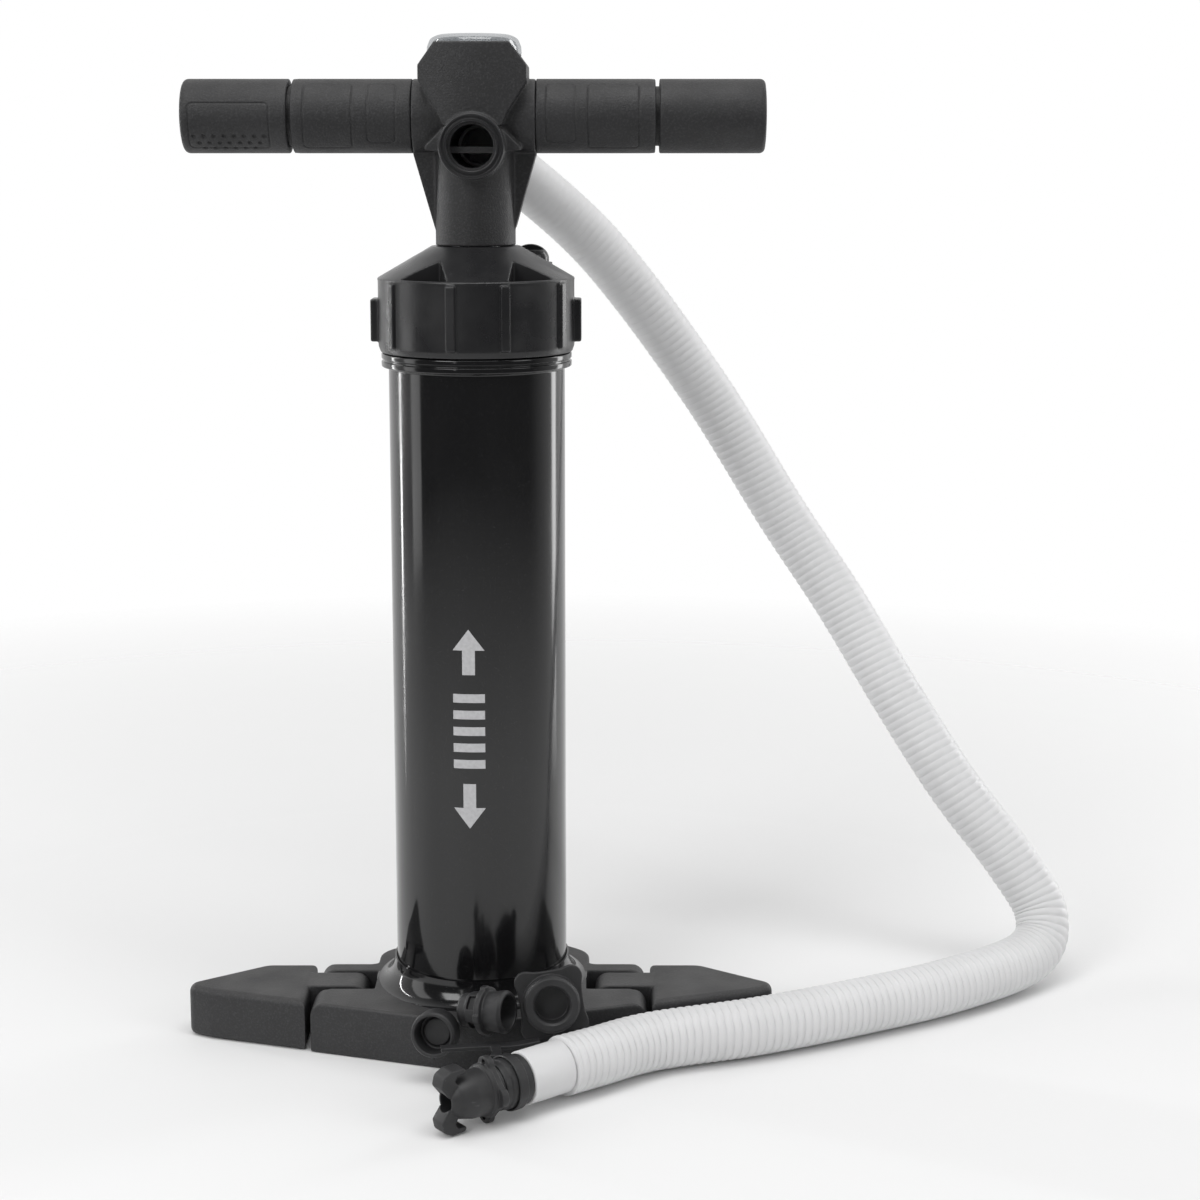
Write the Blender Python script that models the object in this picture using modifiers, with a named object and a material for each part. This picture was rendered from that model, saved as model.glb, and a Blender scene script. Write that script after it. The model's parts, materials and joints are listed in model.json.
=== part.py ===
"""Foot-braced double-action air pump with folding foot plates, a T handle, a gauge and a hose.

Frame: origin on the floor under the barrel's axis, +X to the right along the handle,
-Y towards the user's toes (front), +Z up. Units are metres.
"""

import math

import bmesh
import bpy
from mathutils import Matrix, Vector

# Barrel, socket and base
BARREL_RADIUS = 0.0500
BARREL_BORE = 0.0470
BARREL_FOOT_Z = 0.0080
BARREL_TOP_Z = 0.4280
BARREL_FLANGE_RADIUS = 0.0540
BARREL_FLANGE_Z = (0.3930, 0.4008)
BASE_HEIGHT = 0.0300
BASE_FLOOR = 0.0077
SOCKET_TOP_Z = 0.0444
FRONT_APEX_Y = -0.0781
FRONT_SWEEP = 0.315
BACK_EDGE_Y = 0.0175
SOCKET_WALL_RADIUS = 0.0590
INLET_ROOM_RADIUS = 0.0205
FLOOR_SKIN = 0.0026
SCREW_CIRCLE = 0.0320
BASE_SCREW_ANGLES = (90, 210, 330)
FIT = 0.0003

# Folding foot plates
HINGE_X = 0.0810
HINGE_Z = 0.0150
HINGE_PIN_RADIUS = 0.0030
EAR_END_X = 0.0970
EAR_ROUND = 0.0140
NOTCH_X = 0.0620
REAR_WALL_X = 0.0635
NOTCH_Y = (-0.0240, 0.0055)
TONGUE_Y = (-0.0190, 0.0040)
TONGUE_RADIUS = 0.0140
PLATE_INNER_X = 0.1000
PLATE_TIP_X = 0.1710
PLATE_WALL = 0.0040
PLATE_SLOPE_X = 0.1300
PLATE_SLOPE = 0.70

# Cap
CAP_RADIUS = 0.0555
CAP_BOTTOM_Z = 0.4013
CAP_SHOULDER_Z = 0.4426
CAP_TOP_Z = 0.4607
CAP_NECK_RADIUS = 0.0248
SELECTOR_X, SELECTOR_Y = 0.0300, 0.0280
SELECTOR_SEAT_Z = 0.4500
CAP_CEILING_Z = 0.4415
RIB_ANGLES = (16, 65, 115, 164)

# Rod and piston
ROD_RADIUS = 0.0140
ROD_BORE = 0.0120
ROD_Z = (0.0310, 0.4994)
PISTON_Z = 0.0340
PISTON_RADIUS = 0.0467
CHAMBER_RADIUS = 0.0400

# Handle
NECK_BOTTOM_Z = 0.4610
NECK_RADIUS = 0.0225
BAR_Z = 0.5325
GRIP_RADIUS = 0.0205
BAR_CORE_RADIUS = 0.0165
BAR_END_X = 0.1620
HUB_HALF = 0.0342
GROOVE_X = 0.1020
GROOVE_HALF = 0.0012
GRIP_CHAMFER = 0.0008
PORT_Z = 0.5160
PORT_RADIUS = 0.0180
PORT_BORE = 0.0130
FRONT_PORT_Y = -0.0370
REAR_PORT_Y = 0.0380
HEAD_DEPTH = 0.0310
GAUGE_RADIUS = 0.0264
GAUGE_FLOOR_Z = 0.5530
DIAL_Z = 0.5600
LENS_Z = (0.5666, 0.5775)
HANDLE_SCREWS = (  # x, z and the depth of the head
    (0.0225, 0.5460, 0.0170),
    (-0.0225, 0.5460, 0.0170),
    (0.0270, 0.5035, 0.0110),
    (-0.0270, 0.5035, 0.0110),
)

# Hose and valve end
HOSE_RADIUS = 0.0165
HOSE_WALL = 0.0022
CUFF_NECK_RADIUS = 0.0119
NUT_Y = 0.0520
HOSE_PATH = (  # from the rear port, out to the right, down to the floor and back to the front
    (0.000, 0.085, 0.5160),
    (0.001, 0.092, 0.5155),
    (0.010, 0.110, 0.5070),
    (0.070, 0.142, 0.4520),
    (0.135, 0.165, 0.3650),
    (0.187, 0.160, 0.2820),
    (0.224, 0.145, 0.2270),
    (0.260, 0.125, 0.1680),
    (0.294, 0.105, 0.1160),
    (0.329, 0.090, 0.0710),
    (0.347, 0.078, 0.0400),
    (0.336, 0.058, 0.0200),
    (0.283, 0.016, 0.0172),
    (0.220, -0.020, 0.0170),
    (0.160, -0.049, 0.0170),
    (0.100, -0.071, 0.0170),
    (0.066, -0.096, 0.0178),
    (0.049, -0.1096, 0.0186),
)
FITTING_ORIGIN = (0.0270, -0.1270, 0.0188)
FITTING_AXIS = (-0.7850, -0.6200, 0.0)

# Segments round a full turn
ROUND_STEPS = 28
SMALL_STEPS = 12
HOLE_STEPS = 8
BRANCH_STEPS = 20


# ---------------------------------------------------------------- scene helpers

def clear_scene():
    for obj in list(bpy.data.objects):
        bpy.data.objects.remove(obj, do_unlink=True)


def new_collection(name):
    collection = bpy.data.collections.new(name)
    bpy.context.scene.collection.children.link(collection)
    return collection


def material(name, colour, roughness, metallic=0.0, transmission=0.0):
    made = bpy.data.materials.new(name)
    made.use_nodes = True
    shader = made.node_tree.nodes["Principled BSDF"]
    shader.inputs["Base Color"].default_value = (*colour, 1.0)
    shader.inputs["Roughness"].default_value = roughness
    shader.inputs["Metallic"].default_value = metallic
    shader.inputs["Transmission Weight"].default_value = transmission
    made.diffuse_color = (*colour, 1.0)
    return made


def smooth(mesh):
    """Shade smooth, keeping edges sharper than 35 degrees crisp."""
    mesh.shade_smooth()
    mesh.set_sharp_from_angle(angle=math.radians(35))


def place(name, mesh, look, body=None):
    """Link a mesh as a part of the pump, parented to the empty of the body it moves with."""
    obj = bpy.data.objects.new(name, mesh)
    PARTS.objects.link(obj)
    if look:
        mesh.materials.append(look)
    if body:
        obj.parent = body
        obj.matrix_parent_inverse = body.matrix_world.inverted()
    return obj


def as_helper(obj):
    """Turn a part into a hidden shape that other parts are cut with or joined to."""
    PARTS.objects.unlink(obj)
    HELPERS.objects.link(obj)
    obj.hide_render = True
    obj.display_type = "WIRE"
    return obj


def body_empty(name, location, carrier=None):
    """The empty that stands on a moving body's joint axis, carried by another body's empty."""
    empty = bpy.data.objects.new(name, None)
    empty.empty_display_size = 0.02
    PARTS.objects.link(empty)
    empty.location = location
    if carrier:
        empty.parent = carrier
        empty.matrix_parent_inverse = carrier.matrix_world.inverted()
    bpy.context.view_layer.update()
    return empty


# ---------------------------------------------------------------- shape helpers

def arc(centre, radius, start, end, count):
    """Points on an arc, angles in degrees."""
    angles = (math.radians(start + (end - start) * i / count) for i in range(count + 1))
    return [(centre[0] + radius * math.cos(a), centre[1] + radius * math.sin(a)) for a in angles]


def on_circle(radius, angles):
    """Points at the given angles, in degrees, on a circle about the barrel's axis."""
    return [(radius * math.cos(math.radians(a)), radius * math.sin(math.radians(a))) for a in angles]


def rounded(corners, segments=4):
    """Outline through (x, y, radius) corners, each corner replaced by an arc of its radius."""
    outline = []
    count = len(corners)
    for i, (x, y, radius) in enumerate(corners):
        here = Vector((x, y))
        before = (Vector(corners[i - 1][:2]) - here).normalized()
        after = (Vector(corners[(i + 1) % count][:2]) - here).normalized()
        half = before.angle(after) / 2
        if radius == 0 or half > math.radians(89):
            outline.append((x, y))
            continue
        centre = here + (before + after).normalized() * (radius / math.sin(half))
        first = here + before * (radius / math.tan(half)) - centre
        last = here + after * (radius / math.tan(half)) - centre
        for step in range(segments + 1):
            turned_by = first.angle_signed(last) * step / segments
            point = first.copy()
            point.rotate(Matrix.Rotation(-turned_by, 2))
            outline.append(tuple(centre + point))
    return outline


def turned(name, profile, look, body=None, ring=False, steps=SMALL_STEPS, matrix=None):
    """Solid turned about local Z from (radius, height) points that run down the outer side.

    A ring's profile is a closed loop. Any other profile starts and ends on the axis.
    """
    mesh = bpy.data.meshes.new(name)
    last = len(profile) - 1
    edges = [(i, i + 1) for i in range(last)]
    if ring:
        edges.append((last, 0))
    mesh.from_pydata([(radius, 0.0, height) for radius, height in profile], edges, [])
    obj = place(name, mesh, look, body)
    if matrix:
        obj.matrix_basis = matrix
    screw = obj.modifiers.new("Turn", "SCREW")
    screw.steps = steps
    screw.render_steps = steps
    screw.use_merge_vertices = True
    screw.merge_threshold = 0.00001
    screw.use_smooth_shade = True
    return obj


def prism(name, outline, low, high, look, body=None, upright=False):
    """Flat outline extruded along Z, or along Y when it is an upright (x, z) outline."""
    curve = bpy.data.curves.new(name, "CURVE")
    curve.dimensions = "2D"
    curve.fill_mode = "BOTH"
    curve.extrude = (high - low) / 2
    spline = curve.splines.new("POLY")
    spline.points.add(len(outline) - 1)
    for point, (x, y) in zip(spline.points, outline):
        point.co = (x, y, 0.0, 1.0)
    spline.use_cyclic_u = True
    source = bpy.data.objects.new(name + "_outline", curve)
    PARTS.objects.link(source)
    middle = (low + high) / 2
    if upright:
        stood_up = Matrix.Rotation(math.pi / 2, 4, "X")
        source.matrix_world = Matrix.Translation((0, middle, 0)) @ stood_up
    else:
        source.matrix_world = Matrix.Translation((0, 0, middle))
    mesh = mesh_from_curve(source, name)
    edit = bmesh.new()
    edit.from_mesh(mesh)
    bmesh.ops.dissolve_limit(edit, angle_limit=math.radians(0.5), verts=edit.verts, edges=edit.edges)
    edit.to_mesh(mesh)
    edit.free()
    return place(name, mesh, look, body)


def mesh_from_curve(source, name):
    """Mesh of a curve object in world space, with its caps welded; the curve is removed."""
    bpy.context.view_layer.update()
    graph = bpy.context.evaluated_depsgraph_get()
    mesh = bpy.data.meshes.new_from_object(source.evaluated_get(graph))
    mesh.name = name
    mesh.transform(source.matrix_world)
    edit = bmesh.new()
    edit.from_mesh(mesh)
    bmesh.ops.remove_doubles(edit, verts=edit.verts, dist=0.00002)
    bmesh.ops.recalc_face_normals(edit, faces=edit.faces)
    edit.to_mesh(mesh)
    edit.free()
    mesh.materials.clear()
    bpy.data.objects.remove(source, do_unlink=True)
    return mesh


def box(name, size, centre, look, body=None, matrix=None):
    mesh = bpy.data.meshes.new(name)
    edit = bmesh.new()
    bmesh.ops.create_cube(edit, size=1.0)
    bmesh.ops.scale(edit, vec=size, verts=edit.verts)
    bmesh.ops.translate(edit, vec=centre, verts=edit.verts)
    edit.to_mesh(mesh)
    edit.free()
    obj = place(name, mesh, look, body)
    if matrix:
        obj.matrix_basis = matrix
    return obj


def cylinder(name, radius, low, high, centre, matrix=None, steps=SMALL_STEPS):
    """Plain cylinder along local Z from low to high, used as a helper."""
    mesh = bpy.data.meshes.new(name)
    edit = bmesh.new()
    bmesh.ops.create_cone(edit, cap_ends=True, segments=steps, radius1=radius, radius2=radius,
                          depth=high - low)
    bmesh.ops.translate(edit, vec=(centre[0], centre[1], (low + high) / 2), verts=edit.verts)
    edit.to_mesh(mesh)
    edit.free()
    obj = place(name, mesh, None)
    if matrix:
        obj.matrix_basis = matrix
    return as_helper(obj)


def bevel(obj, width, segments=2, angle=40):
    modifier = obj.modifiers.new("Rounded edges", "BEVEL")
    modifier.width = width
    modifier.segments = segments
    modifier.limit_method = "ANGLE"
    modifier.angle_limit = math.radians(angle)


def boolean(obj, other, operation):
    modifier = obj.modifiers.new(operation.title() + " " + other.name, "BOOLEAN")
    modifier.object = other
    modifier.operation = operation
    modifier.solver = "EXACT"


def cut(obj, *cutters):
    for cutter in cutters:
        boolean(obj, cutter, "DIFFERENCE")


def join(obj, *others):
    for other in others:
        boolean(obj, other, "UNION")


def along_x(x=0.0, y=0.0, z=0.0):
    """Matrix that lays local Z along +X."""
    return Matrix.Translation((x, y, z)) @ Matrix.Rotation(math.pi / 2, 4, "Y")


def along_y(x=0.0, y=0.0, z=0.0):
    """Matrix that lays local Z along +Y."""
    return Matrix.Translation((x, y, z)) @ Matrix.Rotation(-math.pi / 2, 4, "X")


def about_z(degrees):
    return Matrix.Rotation(math.radians(degrees), 4, "Z")


def seal_ring(name, radius, section, height, look, body=None, steps=SMALL_STEPS, matrix=None):
    """Round-section seal lying about local Z."""
    loop = arc((radius, height), section, 90, -270, 6)[:-1]
    return turned(name, loop, look, body, ring=True, steps=steps, matrix=matrix)


# ---------------------------------------------------------------- base

def front_edge(x):
    return FRONT_APEX_Y + abs(x) * FRONT_SWEEP


def base_block():
    """Moulded centre block: hinge ears, barrel socket, screw floor and lightening pockets."""
    half = [(EAR_END_X, front_edge(EAR_END_X), 0.0), (EAR_END_X, BACK_EDGE_Y, 0.0),
            (REAR_WALL_X, BACK_EDGE_Y, 0.004), (REAR_WALL_X, 0.038, 0.018), (0.034, 0.063, 0.018)]
    mirrored = [(-x, y, radius) for x, y, radius in reversed(half)]
    outline = rounded([(0.0, FRONT_APEX_Y, 0.030)] + half + mirrored)
    block = prism("base_block", outline, 0.0, BASE_HEIGHT, MATTE, BASE)
    bevel(block, 0.0025)
    socket = [(0.0, SOCKET_TOP_Z), (0.0515, SOCKET_TOP_Z), (0.0520, 0.0438), (0.0532, 0.0385),
              (0.0552, 0.0335), (0.0575, 0.0302), (SOCKET_WALL_RADIUS, 0.0280),
              (SOCKET_WALL_RADIUS, 0.0120), (0.0, 0.0120)]
    join(block, as_helper(turned("socket_flare", socket, None, steps=ROUND_STEPS)))
    for side_name, sign in (("left", -1), ("right", 1)):
        cut(block, hinge_notch(side_name, sign), ear_corner(side_name, sign),
            base_pocket(side_name, sign), pin_hole(side_name, sign))
    above = SOCKET_TOP_Z + 0.015
    seat_radius = BARREL_RADIUS + FIT
    bore = [(0.0, above), (seat_radius, above), (seat_radius, BASE_FLOOR),
            (INLET_ROOM_RADIUS, BASE_FLOOR), (INLET_ROOM_RADIUS, FLOOR_SKIN), (0.0, FLOOR_SKIN)]
    cut(block, as_helper(turned("barrel_bore", bore, None, steps=ROUND_STEPS)))
    for number, where in enumerate(on_circle(0.0160, (0, 90, 180, 270)), 1):
        cut(block, cylinder(f"base_inlet_{number}", 0.0028, -0.002, 0.004, where, steps=HOLE_STEPS))
    for number, where in enumerate(on_circle(SCREW_CIRCLE, BASE_SCREW_ANGLES), 1):
        cut(block, cylinder(f"base_screw_hole_{number}", 0.0026, 0.002, 0.010, where))
        cut(block, cylinder(f"base_screw_sink_{number}", 0.0048, -0.002, 0.0045, where))


def hinge_notch(side_name, sign):
    width = EAR_END_X - NOTCH_X + 0.01
    depth = NOTCH_Y[1] - NOTCH_Y[0]
    centre = (sign * (NOTCH_X + width / 2), sum(NOTCH_Y) / 2, BASE_HEIGHT / 2)
    return as_helper(box(f"hinge_notch_{side_name}", (width, depth, 0.04), centre, None))


def ear_corner(side_name, sign):
    """Waste above the rounded upper corner of the hinge ears."""
    centre = (EAR_END_X - EAR_ROUND, BASE_HEIGHT - EAR_ROUND)
    curve = arc(centre, EAR_ROUND, 0, 90, 6)
    spare = 0.003
    waste = curve + [(centre[0], BASE_HEIGHT + spare), (EAR_END_X + spare, BASE_HEIGHT + spare),
                     (EAR_END_X + spare, centre[1])]
    waste = [(sign * x, z) for x, z in waste]
    return as_helper(prism(f"ear_corner_{side_name}", waste, -0.0700, 0.0300, None, upright=True))


def base_pocket(side_name, sign):
    """Underside pocket between the barrel seat and the front wall."""
    seat = arc((0.0, 0.0), SOCKET_WALL_RADIUS + 0.0015, -83, -31, 6)
    wall = PLATE_WALL + 0.001
    end_x = NOTCH_X - wall
    outline = seat + [(end_x, NOTCH_Y[0] - wall), (end_x, front_edge(end_x) + wall),
                      (seat[0][0], front_edge(seat[0][0]) + wall)]
    outline = [(sign * x, y) for x, y in outline]
    pocket = prism(f"base_pocket_{side_name}", outline, -0.002, BASE_HEIGHT - PLATE_WALL, None)
    return as_helper(pocket)


def pin_hole(side_name, sign):
    matrix = along_y(sign * HINGE_X, 0.0, HINGE_Z)
    return cylinder(f"pin_hole_{side_name}", HINGE_PIN_RADIUS + FIT, -0.042, 0.030, (0, 0), matrix)


def base_screws():
    for number, (x, y) in enumerate(on_circle(SCREW_CIRCLE, BASE_SCREW_ANGLES), 1):
        profile = [(0.0, 0.0165), (0.0022, 0.0165), (0.0022, 0.0042), (0.0042, 0.0042),
                   (0.0042, 0.0016), (0.0036, 0.0012), (0.0, 0.0012)]
        screw = turned(f"base_screw_{number}", profile, STEEL, BASE, steps=HOLE_STEPS,
                       matrix=Matrix.Translation((x, y, 0)))
        cross = box(f"base_screw_slot_{number}", (0.0050, 0.0010, 0.0024), (x, y, 0.0012), None)
        cut(screw, as_helper(cross))


def hinge_pin(side_name, sign):
    profile = [(0.0, 0.0165), (0.0024, 0.0165), (HINGE_PIN_RADIUS, 0.0160),
               (HINGE_PIN_RADIUS, -0.0415), (0.0, -0.0415)]
    turned(f"hinge_pin_{side_name}", profile, STEEL, BASE, steps=16,
           matrix=along_y(sign * HINGE_X, 0.0, HINGE_Z))


# ---------------------------------------------------------------- foot plates

def plate_back_edge(x):
    """Rear outline of a foot plate: square at the hinge, sloping in towards the tip."""
    return BACK_EDGE_Y - max(0.0, x - PLATE_SLOPE_X) * PLATE_SLOPE


def foot_plate(side_name, sign):
    body = body_empty(f"{side_name}_foot", (sign * HINGE_X, 0.0, HINGE_Z))
    corners = [(PLATE_INNER_X, front_edge(PLATE_INNER_X), 0.0), (0.158, front_edge(0.158), 0.020),
               (PLATE_TIP_X, -0.0200, 0.006), (PLATE_TIP_X, -0.0115, 0.007),
               (PLATE_SLOPE_X, BACK_EDGE_Y, 0.020), (PLATE_INNER_X, BACK_EDGE_Y, 0.0)]
    outline = [(sign * x, y) for x, y in rounded(corners, 5)]
    plate = prism(f"foot_plate_{side_name}", outline, 0.0, BASE_HEIGHT, MATTE, body)
    bevel(plate, 0.0035, 3)
    cut(plate, *plate_pockets(side_name, sign))
    join(plate, plate_tongue(side_name, sign))
    matrix = along_y(sign * HINGE_X, 0.0, HINGE_Z)
    cut(plate, cylinder(f"tongue_bore_{side_name}", HINGE_PIN_RADIUS + FIT, -0.03, 0.03, (0, 0), matrix))


def plate_pockets(side_name, sign):
    """Three pockets under a foot plate, with stiffening ribs left between them."""
    spans = ((0.106, 0.125), (0.128, 0.146), (0.149, 0.164))
    for number, (inner, outer) in enumerate(spans, 1):
        front = [(x, front_edge(x) + PLATE_WALL) for x in (inner, outer)]
        back = [(x, plate_back_edge(x) - PLATE_WALL) for x in (outer, inner)]
        outline = [(sign * x, y) for x, y in front + back]
        name = f"plate_pocket_{side_name}_{number}"
        yield as_helper(prism(name, outline, -0.002, BASE_HEIGHT - PLATE_WALL, None))


def plate_tongue(side_name, sign):
    """Hinge tongue with a round end about the pin."""
    end = arc((HINGE_X, HINGE_Z), TONGUE_RADIUS, 90, 270, 12)
    root_x = PLATE_INNER_X + 0.004
    outline = end + [(root_x, HINGE_Z - TONGUE_RADIUS), (root_x, HINGE_Z + TONGUE_RADIUS)]
    outline = [(sign * x, z) for x, z in outline]
    return as_helper(prism(f"plate_tongue_{side_name}", outline, *TONGUE_Y, None, upright=True))


# ---------------------------------------------------------------- barrel and its lower end

def barrel():
    low, high = BARREL_FLANGE_Z
    edge = 0.0008
    profile = [(BARREL_RADIUS - edge, BARREL_TOP_Z), (BARREL_RADIUS, BARREL_TOP_Z - edge),
               (BARREL_RADIUS, high), (BARREL_FLANGE_RADIUS - edge, high),
               (BARREL_FLANGE_RADIUS, high - edge), (BARREL_FLANGE_RADIUS, low + edge),
               (BARREL_FLANGE_RADIUS - edge, low),
               (BARREL_RADIUS, low - 0.0012), (BARREL_RADIUS, BARREL_FOOT_Z),
               (BARREL_BORE, BARREL_FOOT_Z), (BARREL_BORE, BARREL_TOP_Z)]
    turned("barrel", profile, GLOSS, BASE, ring=True, steps=ROUND_STEPS)


def barrel_foot():
    """Plug that closes the barrel's lower end: seal groove, screw holes and air inlets."""
    outer = PISTON_RADIUS
    profile = [(outer, 0.0190), (outer, 0.0160), (0.0440, 0.0160), (0.0440, 0.0120), (outer, 0.0120),
               (outer, 0.0083), (0.0023, 0.0083), (0.0023, 0.0190)]
    plug = turned("barrel_foot", profile, MATTE, BASE, ring=True, steps=ROUND_STEPS)
    for number, where in enumerate(on_circle(SCREW_CIRCLE, BASE_SCREW_ANGLES), 1):
        cut(plug, cylinder(f"foot_screw_hole_{number}", 0.0026, 0.005, 0.0172, where, steps=HOLE_STEPS))
    for number, where in enumerate(on_circle(0.0090, (45, 135, 225, 315)), 1):
        cut(plug, cylinder(f"foot_inlet_{number}", 0.0030, 0.005, 0.025, where, steps=HOLE_STEPS))
    seal_ring("barrel_foot_seal", 0.0455, 0.0011, 0.0140, RUBBER, BASE, ROUND_STEPS)


def lower_intake_valve():
    """Mushroom flap over the inlets of the barrel foot; it lifts on the up stroke."""
    body = body_empty("lower_intake", (0.0, 0.0, 0.0193))
    profile = [(0.0, 0.0212), (0.0140, 0.0210), (0.0155, 0.0203), (0.0155, 0.0193), (0.0019, 0.0193),
               (0.0019, 0.0060), (0.0030, 0.0058), (0.0022, 0.0042), (0.0, 0.0042)]
    turned("intake_valve_lower", profile, RUBBER, body)


# ---------------------------------------------------------------- cap

def cap():
    """Screw cap: skirt, cone with pockets and ribs, grip lugs and the selector's boss."""
    profile = [(CAP_NECK_RADIUS, CAP_TOP_Z), (0.0560, CAP_SHOULDER_Z), (CAP_RADIUS, 0.4390),
               (CAP_RADIUS, 0.4045), (0.0540, CAP_BOTTOM_Z), (0.0505, CAP_BOTTOM_Z), (0.0505, 0.4305),
               (0.0440, 0.4305), (0.0440, 0.4360), (0.0370, CAP_CEILING_Z), (0.0225, CAP_CEILING_Z),
               (0.0220, 0.4270),
               (0.0150, 0.4270), (0.0150, 0.4300), (0.0178, 0.4300), (0.0178, CAP_TOP_Z)]
    made = turned("cap", profile, SATIN, BASE, ring=True, steps=ROUND_STEPS)
    for number, angle in enumerate(RIB_ANGLES + tuple(-a for a in RIB_ANGLES), 1):
        rib = box(f"cap_rib_{number}", (0.0055, 0.0050, 0.0355), (0.0, -0.0544, 0.4233), None,
                  matrix=about_z(angle))
        join(made, as_helper(rib))
    for side_name, sign in (("left", -1), ("right", 1)):
        lug = box(f"cap_lug_{side_name}", (0.0075, 0.0160, 0.0240), (sign * 0.05575, 0.0, 0.4190), None)
        bevel(lug, 0.0008, 1)
        join(made, as_helper(lug))
    above = CAP_TOP_Z + 0.01
    pocket = ((0.017, 0.062), (0.017, 0.052), (0.0235, 0.0415), (0.046, 0.0335), (0.056, 0.045))
    for number, (side, depth) in enumerate(((1, 1), (-1, 1), (1, -1), (-1, -1)), 1):
        outline = [(side * x, depth * y) for x, y in pocket]
        cut(made, as_helper(prism(f"cap_pocket_{number}", outline, 0.4368, above, None)))
    seat = (SELECTOR_X, SELECTOR_Y)
    join(made, cylinder("selector_boss", 0.0125, 0.4425, SELECTOR_SEAT_Z, seat))
    cut(made, cylinder("selector_recess", 0.0112, SELECTOR_SEAT_Z, above, seat))
    cut(made, cylinder("selector_hole", 0.0043, 0.4300, above, seat, steps=16))
    for number, where in enumerate(on_circle(0.0310, (120, 150, 180)), 1):
        cut(made, cylinder(f"cap_inlet_{number}", 0.0024, 0.4350, above, where, steps=HOLE_STEPS))


def cap_seals():
    turned("cap_seal", [(0.0500, 0.4302), (0.0500, 0.4283), (0.0446, 0.4283), (0.0446, 0.4302)],
           RUBBER, BASE, ring=True, steps=ROUND_STEPS)
    turned("rod_bush", [(0.0175, 0.4540), (0.0175, 0.4303), (0.0143, 0.4303), (0.0143, 0.4540)],
           MATTE, BASE, ring=True)
    lip = [(0.0175, 0.4600), (0.0175, 0.4543), (0.0143, 0.4543), (0.0143, 0.4585), (0.0150, 0.4600)]
    turned("rod_seal", lip, RUBBER, BASE, ring=True)


def upper_intake_valve():
    """Ring flap under the cap's ceiling; it opens downwards on the down stroke."""
    body = body_empty("upper_intake", (0.0, 0.0, 0.4412))
    turned("intake_valve_upper", [(0.0362, 0.4412), (0.0362, 0.4396), (0.0229, 0.4396), (0.0229, 0.4412)],
           RUBBER, body, ring=True, steps=ROUND_STEPS)


def selector_knob():
    """Quarter-turn plug that vents the upper chamber for single action."""
    body = body_empty("selector", (SELECTOR_X, SELECTOR_Y, SELECTOR_SEAT_Z))
    base_z = SELECTOR_SEAT_Z + FIT
    profile = [(0.0, 0.4590), (0.0060, 0.4586), (0.0095, 0.4566), (0.0106, 0.4535), (0.0106, base_z),
               (0.0040, base_z), (0.0040, 0.4375), (0.0, 0.4375)]
    knob = turned("selector_knob", profile, SATIN, body,
                  matrix=Matrix.Translation((SELECTOR_X, SELECTOR_Y, 0)))
    blade = box("selector_blade", (0.0185, 0.0034, 0.0062), (SELECTOR_X, SELECTOR_Y, 0.4574), None)
    bevel(blade, 0.0008, 2)
    join(knob, as_helper(blade))


# ---------------------------------------------------------------- rod and piston

def piston_rod(body):
    """Hollow rod; air from both chambers rises through it to the handle."""
    low, high = ROD_Z
    rod = turned("piston_rod", [(ROD_RADIUS, high), (ROD_RADIUS, low), (ROD_BORE, low), (ROD_BORE, high)],
                 ALUMINIUM, body, ring=True)
    for name, lay in (("rod_port_x", along_x), ("rod_port_y", along_y)):
        cut(rod, cylinder(name, 0.0032, -0.03, 0.03, (0, 0), lay(z=PISTON_Z + 0.0065), HOLE_STEPS))


def piston(body):
    """Two piston plates that make a valve chamber round the rod, and their ring."""
    z = PISTON_Z
    wall = CHAMBER_RADIUS
    lower = [(PISTON_RADIUS, z + 0.0107), (PISTON_RADIUS, z), (0.0143, z), (0.0143, z + 0.0025),
             (wall, z + 0.0025), (wall, z + 0.0107)]
    plate = turned("piston_plate_lower", lower, MATTE, body, ring=True, steps=ROUND_STEPS)
    skirt = wall - FIT
    upper = [(PISTON_RADIUS, z + 0.0250), (PISTON_RADIUS, z + 0.0173), (skirt, z + 0.0173),
             (skirt, z + 0.0040), (0.0360, z + 0.0040), (0.0360, z + 0.0180), (0.0143, z + 0.0180),
             (0.0143, z + 0.0250)]
    lid = turned("piston_plate_upper", upper, MATTE, body, ring=True, steps=ROUND_STEPS)
    for number, where in enumerate(on_circle(0.0230, (25, 85, 145, 205, 265, 325)), 1):
        cut(plate, cylinder(f"piston_hole_lower_{number}", 0.0030, z - 0.002, z + 0.0035, where,
                            steps=HOLE_STEPS))
        cut(lid, cylinder(f"piston_hole_upper_{number}", 0.0030, z + 0.016, z + 0.028, where,
                          steps=HOLE_STEPS))
    ring = [(PISTON_RADIUS, z + 0.0160), (PISTON_RADIUS, z + 0.0120), (0.0455, z + 0.0110),
            (wall, z + 0.0110), (wall, z + 0.0170), (0.0455, z + 0.0170)]
    turned("piston_ring", ring, RUBBER, body, ring=True, steps=ROUND_STEPS)
    clip = [(0.0180, z + 0.0283), (0.0180, z + 0.0253), (0.0143, z + 0.0253), (0.0143, z + 0.0283)]
    turned("piston_clip", clip, STEEL, body, ring=True)


def rod_nut(body):
    """Closed nut under the piston; it also shuts the rod's lower end."""
    top, bottom = PISTON_Z - FIT, PISTON_Z - 0.0078
    profile = [(0.0, top), (0.0190, top), (0.0190, bottom), (0.0, bottom)]
    nut = turned("rod_nut", profile, STEEL, body, steps=6)
    cut(nut, cylinder("rod_nut_bore", 0.0143, PISTON_Z - 0.0045, PISTON_Z + 0.01, (0, 0)))


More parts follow.
